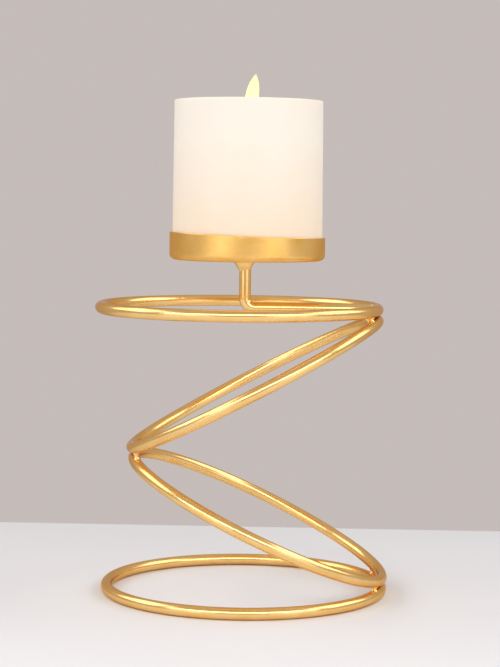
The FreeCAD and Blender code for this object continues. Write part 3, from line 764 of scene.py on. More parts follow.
@dataclass(frozen=True, kw_only=True)
class Moulded(Finish):
    """Moulded plastic, by default, or another plain material with its own grain.

    Attributes:
        deep: Colour of the deeper patches.
        light: Colour of the lighter patches.
        metallic: 1 for a metal.
        glow: Strength of the light that it gives off.
    """

    deep: Colour
    light: Colour
    smooth: float = 0.39
    rough: float = 0.51
    grain: float = 0.6 * MM
    mottle: float = 8 * MM
    relief: float = 0.02 * MM
    metallic: float = 0.0
    glow: float = 0.0

    def colour(self, shader: Shader) -> None:
        """Give the shader its mottled colour, and a glow of that colour if it gives off light.

        Args:
            shader: The material in the making.
        """
        colour = shader.graph.mixed(shader.tone(), self.deep, self.light)
        shader.give(Base_Color=colour, Metallic=self.metallic)
        if self.glow:
            shader.give(Emission_Color=colour, Emission_Strength=self.glow)


def dress(piece: Piece, material: Material) -> None:
    """Give a piece one material in place of what it has."""
    piece.data.materials.clear()
    piece.data.materials.append(material)


def fit(piece: Piece, body: Body, slot: Slot, material: Material, *nodes: str) -> None:
    """Put a new piece on its body, dress it and let it stand for its CAD nodes.

    Args:
        piece: The new piece, in its place.
        body: The body that it rides on.
        slot: Not used.
        material: Its material.
        nodes: The CAD nodes that it stands for.
    """
    dress(piece, material)
    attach(piece, body.value)
    if nodes:
        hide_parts(*nodes)
    LOG.info("%s rides on %s, %d faces", piece.name, body.value, len(piece.data.polygons))


WIRE_RADIUS = 3.0 * MM
RING_RADIUS = 69.25 * MM
WELD_EDGE = WIRE_RADIUS * 0.985
WELD_CORE = WIRE_RADIUS * 0.9


@dataclass(frozen=True)
class RingJoint:
    """The place where two neighbouring rings are pressed and welded together.

    Attributes:
        node: The CAD node of its weld.
        side: The end of the rings that it lies at.
        spacing: Middle to middle of the two wires.
        lean: How far the line between the middles leans to the right.
    """

    node: str
    side: Side
    spacing: float
    lean: float


@dataclass(frozen=True)
class WireRing:
    """A closed ring of round wire, tilted about the Y axis.

    Attributes:
        name: The CAD node's name.
        across: X of its middle.
        height: Z of its middle.
        tilt: Degrees about the Y axis; a positive tilt lowers the right end.
        butt: Angle round the ring where the wire's two ends meet; 90 is the rear.
        seed: Chooses its small unevenness.
        below: Its joint with the ring below, if there is one.
        above: Its joint with the ring above, if there is one.
        steps: How many points it has round the ring.
        section_steps: How many points it has round the wire.
        wander: How far it wanders off a true circle.
        unevenness: How far the wire's radius wanders, as a share of it.
        seam_height: Height of the swelling at the butt joint.
        seam_width: Half the width of that swelling.
        press_reach: How far a flat reaches from the ring's end.
    """

    name: str
    across: float
    height: float
    tilt: float
    butt: float
    seed: int
    below: RingJoint | None
    above: RingJoint | None
    steps: int = 720
    section_steps: int = 64
    wander: float = 0.04 * MM
    unevenness: float = 0.003
    seam_height: float = 0.06 * MM
    seam_width: float = 0.9 * MM
    press_reach: float = 6 * WIRE_RADIUS

    def wire_middle(self, degrees: float) -> Vector:
        """Return the middle of the wire: (R cos u, R sin u, 0), tilted and put in its place.

        Args:
            degrees: Angle u round the ring, from its right end towards the rear.

        Returns:
            The point.
        """
        angle = math.radians(degrees)
        flat = np.array([RING_RADIUS * math.cos(angle), RING_RADIUS * math.sin(angle), 0.0])
        return Vector(turned_about_y(flat, self.tilt)) + Vector((self.across, 0.0, self.height))

    def pressed(self, points: Array, joint: RingJoint, facing: Facing) -> Array:
        """Return the level ring's points with what lies past a flat moved back onto its plane.

        Args:
            points: Rows by columns by 3.
            joint: The joint that the flat belongs to.
            facing: Which way the flat looks.

        Returns:
            The points, in the same form.
        """
        lean = math.radians(joint.lean - self.tilt)
        outwards = facing.value * np.array([math.sin(lean), 0.0, math.cos(lean)])
        end = np.array([joint.side.value * RING_RADIUS, 0.0, 0.0])
        past = np.maximum((points - end) @ outwards - joint.spacing / 2, 0)
        near = np.linalg.norm(points - end, axis=-1) < self.press_reach
        return points - (past * near)[..., None] * outwards

    def build(self) -> Piece:
        """Build the ring.

        A point is ((R + r cos v) cos u, (R + r cos v) sin u, r sin v): u runs round the ring, v
        round the wire. R wanders inwards by a few hundredths of a millimetre, r swells at the
        butt joint, and what lies past a flat's plane is moved back onto it.

        Returns:
            The new piece.
        """
        around, section = whole_turn(self.steps)[:, None], whole_turn(self.section_steps)
        drift = self.wander * (ripple(around, (2, 3, 5), self.seed) - 1)
        butt = away_from(around, math.radians(self.butt)) * RING_RADIUS
        seam = self.seam_height * (bell(butt, 0.0, self.seam_width) - 1)
        uneven = self.unevenness * (ripple(around, (7, 11, 17), self.seed + 1) - 1)
        wire = WIRE_RADIUS * (1 + uneven) + seam
        reach = RING_RADIUS + drift + wire * np.cos(section)
        points = joined(reach * np.cos(around), reach * np.sin(around), wire * np.sin(section))
        for joint, facing in ((self.below, Facing.DOWN), (self.above, Facing.UP)):
            if joint:
                points = self.pressed(points, joint, facing)
        points = turned_about_y(points, self.tilt) + np.array([self.across, 0.0, self.height])
        place = joined(np.cos(section), np.sin(section), around / TURN)
        return Grid(points, rows_close=True, place=place).build(f"{self.name}_wire")


@dataclass(frozen=True)
class BrazePillar:
    """One drop of braze that stands between two wires where they part.

    Attributes:
        name: The piece's name.
        below: The lower ring.
        above: The upper ring.
        turn: Angle round both rings.
        seed: Chooses its unevenness.
        waist: Half its thickness at the narrowest place.
        foot: Half its thickness where it wets the wires.
        widest: The most that it widens to inside the wires, as a share of the foot.
        lumps: How far its radius wanders, as a share of it.
        sunk: How far each end reaches into its wire.
    """

    name: str
    below: WireRing
    above: WireRing
    turn: float
    seed: int
    waist: float = 1.05 * MM
    foot: float = 1.35 * MM
    widest: float = 1.15
    lumps: float = 0.08
    sunk: float = 0.9 * MM

    def build(self) -> Piece:
        """Build the drop.

        Rows run from inside the lower wire to inside the upper one. The radius is
        waist + (foot - waist) * |2t - 1|^2.2, with t from 0 to 1 across the gap between them,
        and no more than widest * foot.

        Returns:
            The new piece.
        """
        low, high = self.below.wire_middle(self.turn), self.above.wire_middle(self.turn)
        axis = (high - low).normalized()
        gap = (high - low).length - 2 * WIRE_RADIUS
        along = WIRE_RADIUS - self.sunk + (gap + 2 * self.sunk) * np.linspace(0, 1, 22)
        share = (along - WIRE_RADIUS) / gap
        radii = self.waist + (self.foot - self.waist) * np.abs(2 * share - 1) ** 2.2
        angle = whole_turn(28)
        radii = np.minimum(radii, self.foot * self.widest)[:, None]
        reach = radii * (1 + self.lumps * ripple(angle, (2, 3), self.seed))
        turn = math.radians(self.turn)
        outwards = axis.cross(Vector((-math.sin(turn), math.cos(turn), 0.0))).normalized()
        tangent = outwards.cross(axis).normalized()
        sideways = np.outer(np.cos(angle), outwards) + np.outer(np.sin(angle), tangent)
        middle = np.array(low) + np.outer(along, axis)
        points = middle[:, None] + reach[..., None] * sideways
        return Grid(capped(points, middle[0], middle[-1])).build(self.name)


@dataclass(frozen=True)
class Stem:
    """The bent wire between the top ring's inner side and the cup.

    Attributes:
        level: Z of the arm.
        cup_level: Z of the cup's underside.
        arm_end: X where the arm meets the top ring.
        post: X of the upright, which stands a little to the left of the cup's middle.
        bend: Radius of the bend.
        squeeze: How much thinner the wire is in the bend, as a share of it.
        bulge: How much wider it is there from front to rear, as a share of it.
    """

    level: float
    cup_level: float
    arm_end: float
    post: float
    bend: float = 5.0 * MM
    squeeze: float = 0.05
    bulge: float = 0.02

    def build(self) -> Piece:
        """Build the wire: a circle carried down a line, round a quarter circle and along a line.

        The section is squeezed by a twentieth in the bend, as it is when wire is bent cold.

        Returns:
            The new piece.
        """
        rise = self.cup_level - self.level
        quarter = self.bend * math.pi / 2
        straight, arm = rise - self.bend, self.arm_end - self.post - self.bend
        length = np.unique(np.concatenate([
            np.linspace(0, straight, 24), straight + np.linspace(0, quarter, 24),
            straight + quarter + np.linspace(0, arm, 60)]))
        turn = np.clip((length - straight) / self.bend, 0, math.pi / 2)
        down, along = np.minimum(length, straight), np.maximum(length - straight - quarter, 0)
        across = self.post + self.bend * (1 - np.cos(turn)) + along
        height = rise - down - self.bend * np.sin(turn)
        middle = joined(across, 0.0, self.level + height)
        inside = joined(np.cos(turn), 0.0, np.sin(turn))
        in_bend = (length > straight) & (length < straight + quarter)
        bent = (bell(turn, math.pi / 4, 0.6) * in_bend)[:, None]
        angle = whole_turn(32)
        flat = WIRE_RADIUS * (1 - self.squeeze * bent) * np.cos(angle)
        points = middle[:, None] + flat[..., None] * inside[:, None]
        points[..., 1] += WIRE_RADIUS * (1 + self.bulge * bent) * np.sin(angle)
        place = joined(np.cos(angle), np.sin(angle), length[:, None])
        place = np.concatenate([place[:1], place, place[-1:]])
        return Grid(capped(points, middle[0], middle[-1]), place=place).build("stem_wire")


@dataclass(frozen=True)
class CupWeld:
    """The flared weld under the cup, longer on the left, with a drip at the front.

    Attributes:
        level: Z of the cup's underside.
        post: X of the upright.
        foot: Radius against the cup.
        length: Length down the post.
        drip: How far the drip stands out.
        drip_depth: How far it lies below the cup.
        drip_height: Half its height.
        drip_width: Half its width, in radians.
    """

    level: float
    post: float
    foot: float = 6.1 * MM
    length: float = 5.1 * MM
    drip: float = 0.9 * MM
    drip_depth: float = 3.4 * MM
    drip_height: float = 1.5 * MM
    drip_width: float = 0.9

    def build(self) -> Piece:
        """Build the weld, which closes along a hidden core inside the post.

        At a depth h below the cup the radius is wire + (foot - wire) * (1 - h/H)^p, where the
        length H, the foot and the power p change slowly round the wire, plus a bell shaped drip.

        Returns:
            The new piece.
        """
        angle = whole_turn(72)
        left = np.cos(angle - math.pi)
        share = np.linspace(0, 1, 30)[:, None]
        length = self.length * (1 + 0.13 * left + 0.03 * ripple(angle, (3, 5), 3))
        foot = self.foot * (1 + 0.04 * left + 0.02 * ripple(angle, (2, 5), 4))
        power = 1.35 - 0.25 * left
        depth = share * length
        front = bell(away_from(angle, -math.pi / 2), 0.0, self.drip_width)
        drip = front * bell(depth, self.drip_depth, self.drip_height) * np.sqrt(1 - share)
        radii = WELD_EDGE + (foot - WIRE_RADIUS) * (1 - share) ** power + self.drip * drip
        outside = turned_profile(radii, self.level - depth, angle)
        core_heights = np.array([[self.level - length.min()], [self.level]])
        core = turned_profile(WELD_CORE, core_heights, angle)
        points = np.concatenate([outside, core]) + np.array([self.post, 0.0, 0.0])
        return Grid(points, rows_close=True).build("stem_cup_weld")


@dataclass(frozen=True)
class ArmWeld:
    """The weld where the arm meets the top ring and the end of the upper ring.

    Attributes:
        level: Z of the arm.
        ring_inside: X of the top ring's inner side.
        length: Length of the collar along the arm.
        foot: Radius of the collar at the ring.
        sunk: How far the collar reaches into the ring.
        corner: The gusset's hidden corner, as X and Z from the arm's level at the ring.
        arm_side: The gusset's end at the arm, in the same form.
        ring_side: The gusset's end at the upper ring, in the same form.
        half_thickness: Half the gusset's thickness.
    """

    level: float
    ring_inside: float
    length: float = 3.6 * MM
    foot: float = 3.35 * MM
    sunk: float = 0.6 * MM
    corner: tuple[float, float] = (1.6 * MM, -1.2 * MM)
    arm_side: tuple[float, float] = (-9.6 * MM, 0.4 * MM - WIRE_RADIUS)
    ring_side: tuple[float, float] = (0.2 * MM, -10.2 * MM)
    half_thickness: float = 2.7 * MM

    def collar(self) -> Piece:
        """Build the collar, which closes along a hidden core inside the arm.

        The radius is wire + (foot - wire) * t^2.2, with t from 0 at its thin edge to 1 at the ring.

        Returns:
            The new piece.
        """
        angle = whole_turn(48)
        share = np.linspace(0, 1, 24)[:, None]
        foot = self.foot * (1 + 0.06 * ripple(angle, (2, 3), 8))
        radii = WELD_EDGE + (foot - WIRE_RADIUS) * share**2.2
        length = self.length * (1 + 0.12 * ripple(angle, (2, 3), 9))
        across = self.ring_inside - length * (1 - share) + self.sunk
        across = np.concatenate([across, across[-1:], across[:1]])
        radii = np.concatenate([radii, np.full((2, len(angle)), WELD_CORE)])
        points = joined(across, radii * np.cos(angle), self.level + radii * np.sin(angle))
        return Grid(points, rows_close=True).build("arm_weld_collar")

    def gusset(self) -> Piece:
        """Build the braze in the corner under the arm, a hollow curve from the arm to the upper ring.

        Its outline in the XZ plane is the hidden corner c and a curve between its two ends a and b
        that sags towards c: (1 - t)^2 a + 2 t (1 - t) p + t^2 b, with the pull p near the mean of
        the three. Towards both faces, y from -1 to 1, it shrinks as (1 - y^2)^0.3.

        Returns:
            The new piece.
        """
        ends = np.array([self.arm_side, self.ring_side, self.corner])
        arm_side, ring_side, corner = ends + np.array([self.ring_inside, self.level])
        share = np.linspace(0, 1, 20)[:, None]
        pull = arm_side * 0.33 + ring_side * 0.33 + corner * 0.34
        curve = (1 - share) ** 2 * arm_side + 2 * share * (1 - share) * pull + share**2 * ring_side
        outline = np.concatenate([curve, corner[None]])
        middle = outline.mean(axis=0)
        depth = np.sin(np.linspace(-1, 1, 17) * math.pi / 2)[:, None]
        shapes = middle + (outline - middle) * (np.clip(1 - depth**2, 0, 1) ** 0.3)[..., None]
        points = joined(shapes[..., 0], self.half_thickness * depth, shapes[..., 1])
        return Grid(points).build("arm_weld_gusset")


@dataclass(frozen=True)
class Cup:
    """The shallow pressed cup.

    Attributes:
        level: Z of its underside.
        radius: Outer radius.
        height: Height of its rim over its underside.
        wall: Thickness of the sheet.
        corner: Outer radius of the corner between floor and wall.
        rim: Radius of the rim's two edges.
        rim_drop: How much lower the rim is at the right end.
        rim_rise: How much higher it is at the left end.
        wall_wander: How far the wall wanders.
        rim_wander: How far the rim wanders up and down.
        spacing: The most that two points of its profile lie apart.
    """

    level: float
    radius: float = 39.0 * MM
    height: float = 12.7 * MM
    wall: float = 1.0 * MM
    corner: float = 3.0 * MM
    rim: float = 0.3 * MM
    rim_drop: float = 1.1 * MM
    rim_rise: float = 1.3 * MM
    wall_wander: float = 0.05 * MM
    rim_wander: float = 0.15 * MM
    spacing: float = 2.5 * MM

    def build(self) -> Piece:
        """Build the cup: a closed profile turned about the Z axis.

        The wall wanders inwards by up to a tenth of a millimetre, and its cut rim dips by up to
        three tenths, both as slow ripples round the turn. The rim also slopes from left to right,
        as rise * (1 - c) - drop * c with c = (1 + cos a) / 2. All of it fades towards the floor.

        Returns:
            The new piece.
        """
        inside = self.radius - self.wall
        corners = [
            (0.0, 0.0, 0.0),
            (self.radius, 0.0, self.corner),
            (self.radius, self.height, self.rim),
            (inside, self.height, self.rim),
            (inside, self.wall, self.corner - self.wall),
            (0.0, self.wall, 0.0),
        ]
        outline = filled_path(rounded_path(corners, 12), self.spacing)
        angle = whole_turn(320)
        on_wall = smooth_step(outline[:, 0], inside - self.corner, inside)[:, None]
        near_rim = on_wall * smooth_step(outline[:, 1], self.wall, self.height)[:, None]
        right = (1 + np.cos(angle)) / 2
        slope = self.rim_rise * (1 - right) - self.rim_drop * right
        dips = self.rim_wander * (ripple(angle, (2, 3, 7), 22) - 1)
        radii = outline[:, :1] + self.wall_wander * on_wall * (ripple(angle, (3, 5, 8), 21) - 1)
        heights = outline[:, 1:] + near_rim * (dips + slope)
        points = turned_profile(radii, self.level + heights, angle)
        place = joined(np.cos(angle), np.sin(angle), heights / (2 * MM) + radii / (6 * MM))
        return Grid(points, place=place).build("pressed_cup")


@dataclass(frozen=True)
class Holder:
    """The rings, the welds, the stem and the cup.

    Attributes:
        names: The rings' CAD nodes, from the base up.
        tilts: Their tilts.
        butts: Where each one's wire ends meet, in degrees round the ring.
        joints: The joints between them, from the base up.
        braze_turns: Degrees round the rings from a joint to its braze drops.
        post: X of the stem's upright.
        arm_sunk: How far the arm reaches into the top ring.
        wire: Finish of the rings and the stem.
        braze: Finish of the welds.
        sheet: Finish of the cup.
    """

    names: tuple[str, ...] = ("base_ring", "lower_ring", "upper_ring", "top_ring")
    tilts: tuple[float, ...] = (0.0, 25.35, -27.8, 0.0)
    butts: tuple[float, ...] = (200.0, 262.0, 96.0, 120.0)
    joints: tuple[RingJoint, ...] = (
        RingJoint("weld_base_right", Side.RIGHT, spacing=5.8 * MM, lean=3.0),
        RingJoint("weld_mid_left", Side.LEFT, spacing=5.2 * MM, lean=-11.8),
        RingJoint("weld_top_right", Side.RIGHT, spacing=5.6 * MM, lean=-2.0),
    )
    braze_turns: tuple[float, ...] = (-19.0, 19.0)
    post: float = -0.9 * MM
    arm_sunk: float = 0.6 * MM
    wire: SatinGold = SatinGold()
    braze: SatinGold = SatinGold(
        name="satin_gold_braze", smooth=0.18, rough=0.28, grain=0.5 * MM, relief=0.01 * MM,
        line_relief=0.0)
    sheet: SatinGold = SatinGold(
        name="satin_gold_cup", light=(0.96, 0.61, 0.195), deep=(0.90, 0.54, 0.140),
        smooth=0.27, rough=0.38, grain=0.6 * MM, relief=0.03 * MM, lines=3.0, line_relief=0.09 * MM)

    def rings(self) -> list[WireRing]:
        """Return the rings, each placed on the one below it as in the part.

        Across a joint the middle moves by R (cos below - cos above) and R (sin above - sin below),
        with the tilts of both rings and R negative at a left end, and by the spacing of the two
        wires along the joint's lean.

        Returns:
            The rings, from the base up.
        """
        across, height = 0.0, WIRE_RADIUS
        joints = (None, *self.joints, None)
        rings = []
        for index, (name, tilt, butt) in enumerate(zip(self.names, self.tilts, self.butts)):
            joint = joints[index]
            if joint:
                reach = joint.side.value * RING_RADIUS
                below, above, lean = map(math.radians, (self.tilts[index - 1], tilt, joint.lean))
                across += reach * (math.cos(below) - math.cos(above)) + joint.spacing * math.sin(lean)
                height += reach * (math.sin(above) - math.sin(below)) + joint.spacing * math.cos(lean)
            seed = 10 * index + 1
            rings.append(WireRing(name, across, height, tilt, butt, seed, joint, joints[index + 1]))
        return rings

    def build_braze(self, rings: list[WireRing], braze: Material) -> None:
        """Build and dress the two braze drops at each joint, one at the front and one at the rear.

        Args:
            rings: The rings, from the base up.
            braze: The drops' material.
        """
        for joint, below, above in zip(self.joints, rings, rings[1:]):
            middle = 0.0 if joint.side is Side.RIGHT else 180.0
            for number, turn in enumerate(self.braze_turns):
                place = "front" if turn * joint.side.value < 0 else "rear"
                pillar = BrazePillar(f"{joint.node}_{place}", below, above, middle + turn, 30 + number)
                fit(pillar.build(), Body.HOLDER, Slot.GOLD, braze, joint.node)

    def build(self) -> None:
        """Build and dress every piece of the holder."""
        wire, braze, sheet = (finish.material() for finish in (self.wire, self.braze, self.sheet))
        rings = self.rings()
        for ring in rings:
            fit(ring.build(), Body.HOLDER, Slot.GOLD, wire, ring.name)
        self.build_braze(rings, braze)
        top = rings[-1]
        cup_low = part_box("cup")[0].z
        ring_inside = top.across + RING_RADIUS - WIRE_RADIUS
        stem = Stem(top.height, cup_low, ring_inside + self.arm_sunk, self.post)
        arm = ArmWeld(top.height, ring_inside)
        fit(stem.build(), Body.HOLDER, Slot.GOLD, wire, "stem")
        fit(CupWeld(cup_low, self.post).build(), Body.HOLDER, Slot.GOLD, braze, "weld_stem_cup")
        fit(arm.collar(), Body.HOLDER, Slot.GOLD, braze, "weld_stem_ring")
        fit(arm.gusset(), Body.HOLDER, Slot.GOLD, braze)
        fit(Cup(cup_low).build(), Body.HOLDER, Slot.GOLD, sheet, "cup")


@dataclass(frozen=True)
class FlameLeaf:
    """The swinging flame: leaf, neck, eye and tail in one thin moulding.

    Attributes:
        pivot: Z of its pivot.
        lean: How far the leaf leans to the right.
        tail_lean: How far the line of the tail leans.
        length: From the pivot up to the tip.
        tail: From the pivot down to the tail's end.
        belly: Height of the widest place over the pivot.
        half_width: Half the width there.
        sway: How far the leaf's middle line moves to the left above the neck.
        neck: Height of the neck over the pivot.
        half_neck: Half the width of the neck.
        half_tail: Half the width of the tail.
        half_tip: Half the width at the very tip.
        eye: Radius of the eye round the pivot wire.
        thickness: Thickness of the moulding.
    """

    pivot: float
    lean: float = 9.3
    tail_lean: float = 3.6
    length: float = 26.42 * MM
    tail: float = 14.0 * MM
    belly: float = 13.0 * MM
    half_width: float = 3.3 * MM
    sway: float = 0.95 * MM
    neck: float = 4.0 * MM
    half_neck: float = 1.75 * MM
    half_tail: float = 1.5 * MM
    half_tip: float = 0.02 * MM
    eye: float = 2.0 * MM
    thickness: float = 1.4 * MM

    def half_outline(self, along: Array) -> Array:
        """Return half the width.

        The blade is neck + (belly - neck) * step below its widest place, and belly * (1 - s^2.6)
        above it, where s runs from 0 there to 1 at the tip; the eye is a half circle.

        Args:
            along: Heights above the pivot.

        Returns:
            One half width for each height.
        """
        share = np.clip((along - self.belly) / (self.length - self.belly), 0, 1)
        growth = smooth_step(along, self.neck, self.belly)
        blade = self.half_neck + (self.half_width - self.half_neck) * growth
        blade = np.where(along > self.belly, self.half_width * (1 - share**2.6), blade)
        eye = np.sqrt(np.clip(self.eye**2 - along**2, 0, None))
        root = np.where(along > 0, blade, self.half_tail)
        return np.maximum(np.maximum(root, eye), self.half_tip)

    def build(self) -> Piece:
        """Build the leaf.

        Rows run from the tail to the tip. Across a row the section is a full oval (w cos a,
        h sin a), with the half width w from the outline. The middle line sways to the left above
        the neck, and the tail's lean passes into the leaf's across the eye.

        Returns:
            The new piece.
        """
        along = np.sort(np.concatenate([
            np.linspace(-self.tail, self.length, 150), np.linspace(-self.eye, self.eye, 15)]))[:, None]
        half = self.half_outline(along)
        depth = self.thickness / 2 * np.minimum(1, (half / self.half_tail) ** 0.5)
        angle = whole_turn(24)
        sway = self.sway * smooth_step(along, self.half_neck, self.belly)
        across = half * fuller(np.cos(angle)) - sway
        through = depth * fuller(np.sin(angle))
        bend = smooth_step(along, -self.eye, self.eye)
        lean = np.radians(self.tail_lean + (self.lean - self.tail_lean) * bend)
        rightwards = along * np.sin(lean) + across * np.cos(lean)
        upwards = along * np.cos(lean) - across * np.sin(lean)
        points = joined(rightwards, through, self.pivot + upwards)
        ends = points[[0, -1]].mean(axis=1)
        return Grid(capped(points, *ends)).build("flame_leaf")


@dataclass(frozen=True)
class Candle:
    """The candle's shell, its works and its flame.

    Attributes:
        glow_reach: Share of the shell's height over which the warm glow fades.
    """

    glow_reach: float = 0.75

    def shell(self) -> None:
        """Dress the wax shell."""
        low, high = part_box("wax_shell")
        wax = GlowingWax(foot=low.z, head=low.z + self.glow_reach * (high.z - low.z))
        self.dress_nodes(wax, "wax_shell")

    def works(self) -> None:
        """Dress the works inside the shell, and the knob on its underside."""
        white = Moulded(name="white_moulding", deep=(0.72, 0.71, 0.68), light=(0.82, 0.81, 0.78))
        steel = Moulded(
            name="bright_steel", deep=(0.48, 0.48, 0.49), light=(0.62, 0.62, 0.63),
            smooth=0.22, rough=0.34, grain=0.4 * MM, relief=0.01 * MM, metallic=1.0)
        nickel = Moulded(
            name="nickel_plate", deep=(0.60, 0.57, 0.52), light=(0.72, 0.69, 0.63),
            smooth=0.18, rough=0.30, grain=0.5 * MM, relief=0.01 * MM, metallic=1.0)
        black = Moulded(
            name="black_moulding", deep=(0.018, 0.018, 0.02), light=(0.035, 0.035, 0.038),
            smooth=0.44, rough=0.56)
        board = Moulded(
            name="solder_mask", deep=(0.02, 0.11, 0.05), light=(0.04, 0.19, 0.09),
            smooth=0.24, rough=0.36, grain=0.8 * MM)
        cell = Moulded(
            name="cell_sleeve", deep=(0.10, 0.11, 0.13), light=(0.18, 0.19, 0.21),
            smooth=0.29, rough=0.41, relief=0.01 * MM)
        copper = Moulded(
            name="enamelled_copper", deep=(0.45, 0.16, 0.06), light=(0.62, 0.26, 0.11),
            smooth=0.24, rough=0.36, grain=0.3 * MM, relief=0.04 * MM, metallic=1.0)
        lens = Moulded(
            name="warm_lens", deep=(1.0, 0.74, 0.40), light=(1.0, 0.84, 0.55),
            smooth=0.09, rough=0.21, grain=0.8 * MM, relief=0.01 * MM, glow=1.5)
        self.dress_nodes(
            white, "base_plate", "battery_cover", "battery_tray", "core_housing", "coil_bobbin",
            "flame_carrier")
        self.dress_nodes(steel, "cover_screw", "flame_pivot_wire", "flame_magnet")
        self.dress_nodes(nickel, "contact_left", "contact_right")
        self.dress_nodes(black, "switch_housing", "power_switch")
        self.dress_nodes(board, "circuit_board")
        self.dress_nodes(cell, "battery_rear", "battery_front")
        self.dress_nodes(copper, "coil_winding")
        self.dress_nodes(lens, "led")

    @staticmethod
    def dress_nodes(finish: Finish, *nodes: str) -> None:
        """Give CAD nodes one finish.

        Args:
            finish: The finish.
            nodes: The nodes' names.
        """
        material = finish.material()
        for node in nodes:
            dress(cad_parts[node], material)
            LOG.info("%s has %s", node, finish.name)

    def flame(self) -> None:
        """Build and dress the flame, which hangs on the middle of its pivot wire."""
        low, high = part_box("flame_pivot_wire")
        pivot = (low.z + high.z) / 2
        film = FlameFilm(root=pivot, tip=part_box("flame")[1].z)
        fit(FlameLeaf(pivot).build(), Body.FLAME, Slot.FLAME, film.material(), "flame")

    def build(self) -> None:
        """Dress the CAD nodes and build the flame."""
        self.shell()
        self.works()
        self.flame()


@dataclass(frozen=True)
class Lamp:
    """A soft rectangular lamp that looks at the object.

    Attributes:
        name: The lamp's name.
        azimuth: Degrees to the right of the front view.
        elevation: Degrees above the horizon.
        wide: How wide its face looks from the object.
        high: How high its face looks from there.
        brightness: Radiance of its face.
        distance: Metres from the target.
        colour: Colour of its light.
    """

    name: str
    azimuth: float
    elevation: float
    wide: float
    high: float
    brightness: float
    distance: float = 2.4
    colour: Colour = (1.0, 0.985, 0.96)

    def hang(self, target: Vector) -> None:
        """Hang the lamp; its power is brightness * pi * width * height.

        Args:
            target: The point that it looks at.
        """
        data = bpy.data.lights.new(self.name, "AREA")
        data.shape = "RECTANGLE"
        data.size = 2 * self.distance * math.tan(math.radians(self.wide / 2))
        data.size_y = 2 * self.distance * math.tan(math.radians(self.high / 2))
        data.energy = self.brightness * math.pi * data.size * data.size_y
        data.color = self.colour
        back = direction(self.azimuth, self.elevation)
        lamp = new_object(self.name, data)
        lamp.location = target + back * self.distance
        lamp.rotation_mode = "QUATERNION"
        lamp.rotation_quaternion = back.to_track_quat("Z", "Y")


@dataclass(frozen=True)
class Floor:
    """The pale slab that the holder stands on, a squarish plate with rounded corners.

    Attributes:
        half_width: Half its width.
        half_depth: Half its depth.
        rear: Y of its rear edge.
        layers: Share of the outline, and height, of each row from the middle of the top down.
        light: Colour of its lighter patches.
        shade: Colour of its deeper patches, as a share of that.
    """

    half_width: float = 1.1
    half_depth: float = 0.75
    rear: float = 0.194
    layers: tuple[tuple[float, float], ...] = (
        (0.0, 0.0), (0.5, 0.0), (0.995, 0.0), (1.0, -0.003), (1.0, -0.02), (0.0, -0.02))
    light: Colour = (0.87, 0.855, 0.88)
    shade: float = 0.98

    def build(self) -> None:
        """Build the slab and stage it.

        Its outline is (A r cos a, B r sin a), with r = (|cos a|^8 + |sin a|^8)^(-1/8).
        """
        angle = whole_turn(160)
        reach = (np.abs(np.cos(angle)) ** 8 + np.abs(np.sin(angle)) ** 8) ** (-1 / 8)
        share, height = np.array(self.layers).T[..., None]
        across = share * self.half_width * reach * np.cos(angle)
        along = share * self.half_depth * reach * np.sin(angle) + self.rear - self.half_depth
        floor = Grid(joined(across, along, height)).build("studio_floor")
        shader = Shader("pale_floor", grain=2 * MM, mottle=150 * MM)
        deep = tuple(part * self.shade for part in self.light)
        colour = shader.graph.mixed(shader.tone(), deep, self.light)
        shader.give(Base_Color=colour, Roughness=0.7, Specular_IOR_Level=0.2)
        dress(floor, shader.material)


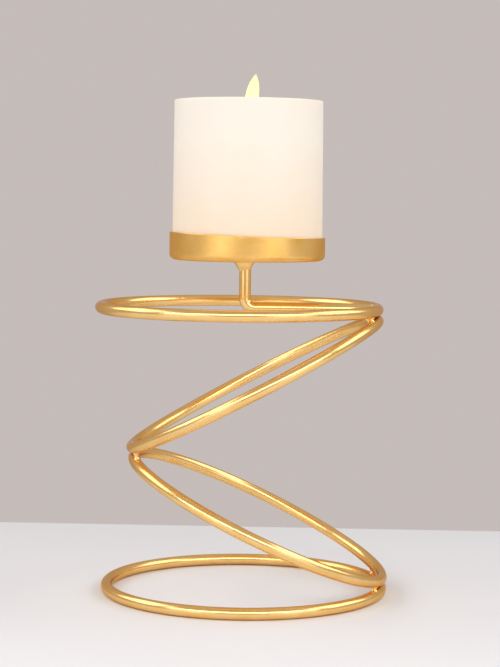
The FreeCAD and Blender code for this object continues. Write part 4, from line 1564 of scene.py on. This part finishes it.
@dataclass(frozen=True)
class Studio:
    """Camera, floor, background and lamps.

    Attributes:
        focal_px: Focal length in pixels of the photograph's frame.
        distance: Camera to target.
        azimuth: Degrees to the right of the front view.
        elevation: Degrees above the horizon.
        roll: Degrees that upright lines appear to lean to the right.
        target: The point in the middle of the frame.
        sensor: Longer side of the camera's sensor, in millimetres.
        wall: The background's colour, which the camera and the glossy pieces see.
        light: Colour and strength of the even light on the object.
        side_turn: Degrees from the view to the lamps on either side of it.
    """

    focal_px: float = 1946.0
    distance: float = 0.9766
    azimuth: float = 2.290
    elevation: float = 4.059
    roll: float = 0.68
    target: tuple[float, float, float] = (1.87 * MM, 0.0, 130.54 * MM)
    sensor: float = 36.0
    wall: Colour = (0.56, 0.505, 0.485)
    light: Colour = (0.50, 0.495, 0.49)
    side_turn: float = 37.0

    def camera(self) -> None:
        """Place the camera and make it the scene's own."""
        data = bpy.data.cameras.new("view_camera")
        data.sensor_fit = "AUTO"
        data.sensor_width = self.sensor
        data.lens = self.focal_px / PHOTO_HEIGHT * self.sensor
        back = direction(self.azimuth, self.elevation)
        turn = back.to_track_quat("Z", "Y").to_matrix()
        roll = Matrix.Rotation(math.radians(self.roll), 3, "Z")
        place = Matrix.Translation(Vector(self.target) + back * self.distance)
        camera = new_object("view_camera", data)
        camera.matrix_world = place @ (turn @ roll).to_4x4()
        bpy.context.scene.camera = camera

    def world(self) -> None:
        """Light the scene evenly and show the wall's colour to the camera and in gloss."""
        world = bpy.data.worlds.new("studio_world")
        bpy.context.scene.world = world
        world.use_nodes = True
        graph = Graph(world.node_tree)
        rays = graph.add("LightPath").outputs
        seen = graph.math("MAXIMUM", rays["Is Camera Ray"], rays["Is Glossy Ray"])
        shown = graph.math("MAXIMUM", seen, rays["Is Transmission Ray"])
        background = world.node_tree.nodes["Background"]
        graph.give(background, Color=graph.mixed(shown, self.light, self.wall), Strength=1.0)

    def lamps(self) -> list[Lamp]:
        """Return the soft lamps.

        A high bar hangs ahead. On each side of it are a high panel that carries it on, a low
        one, a slim one that brightens a strip of that, and a fill further round.

        Returns:
            The nine lamps.
        """
        found = [Lamp("front_bar", self.azimuth, 28.0, wide=27.0, high=10.0, brightness=4.8)]
        for side in Side:
            name, sign = side.name.lower(), side.value
            front = self.azimuth + sign * self.side_turn
            found += [
                Lamp(f"{name}_high", front, 28.0, wide=48.0, high=10.0, brightness=4.8),
                Lamp(f"{name}_low", front + sign * 4.0, 5.0, wide=40.0, high=18.0, brightness=0.65),
                Lamp(f"{name}_slim", front, 5.0, wide=11.0, high=18.0, brightness=0.45),
                Lamp(f"{name}_fill", sign * 100.0, 36.0, wide=44.0, high=32.0, brightness=1.8),
            ]
        return found

    def build(self) -> None:
        """Build the whole studio."""
        bpy.context.scene.view_settings.view_transform = "Standard"
        self.camera()
        Floor().build()
        self.world()
        for lamp in self.lamps():
            lamp.hang(Vector(self.target))


def main() -> None:
    """Build the studio and every piece of the object, and log each new piece's body and face count."""
    logging.basicConfig(level=logging.INFO, format="%(message)s")
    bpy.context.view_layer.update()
    Studio().build()
    Holder().build()
    Candle().build()


if __name__ == "__main__":
    main()
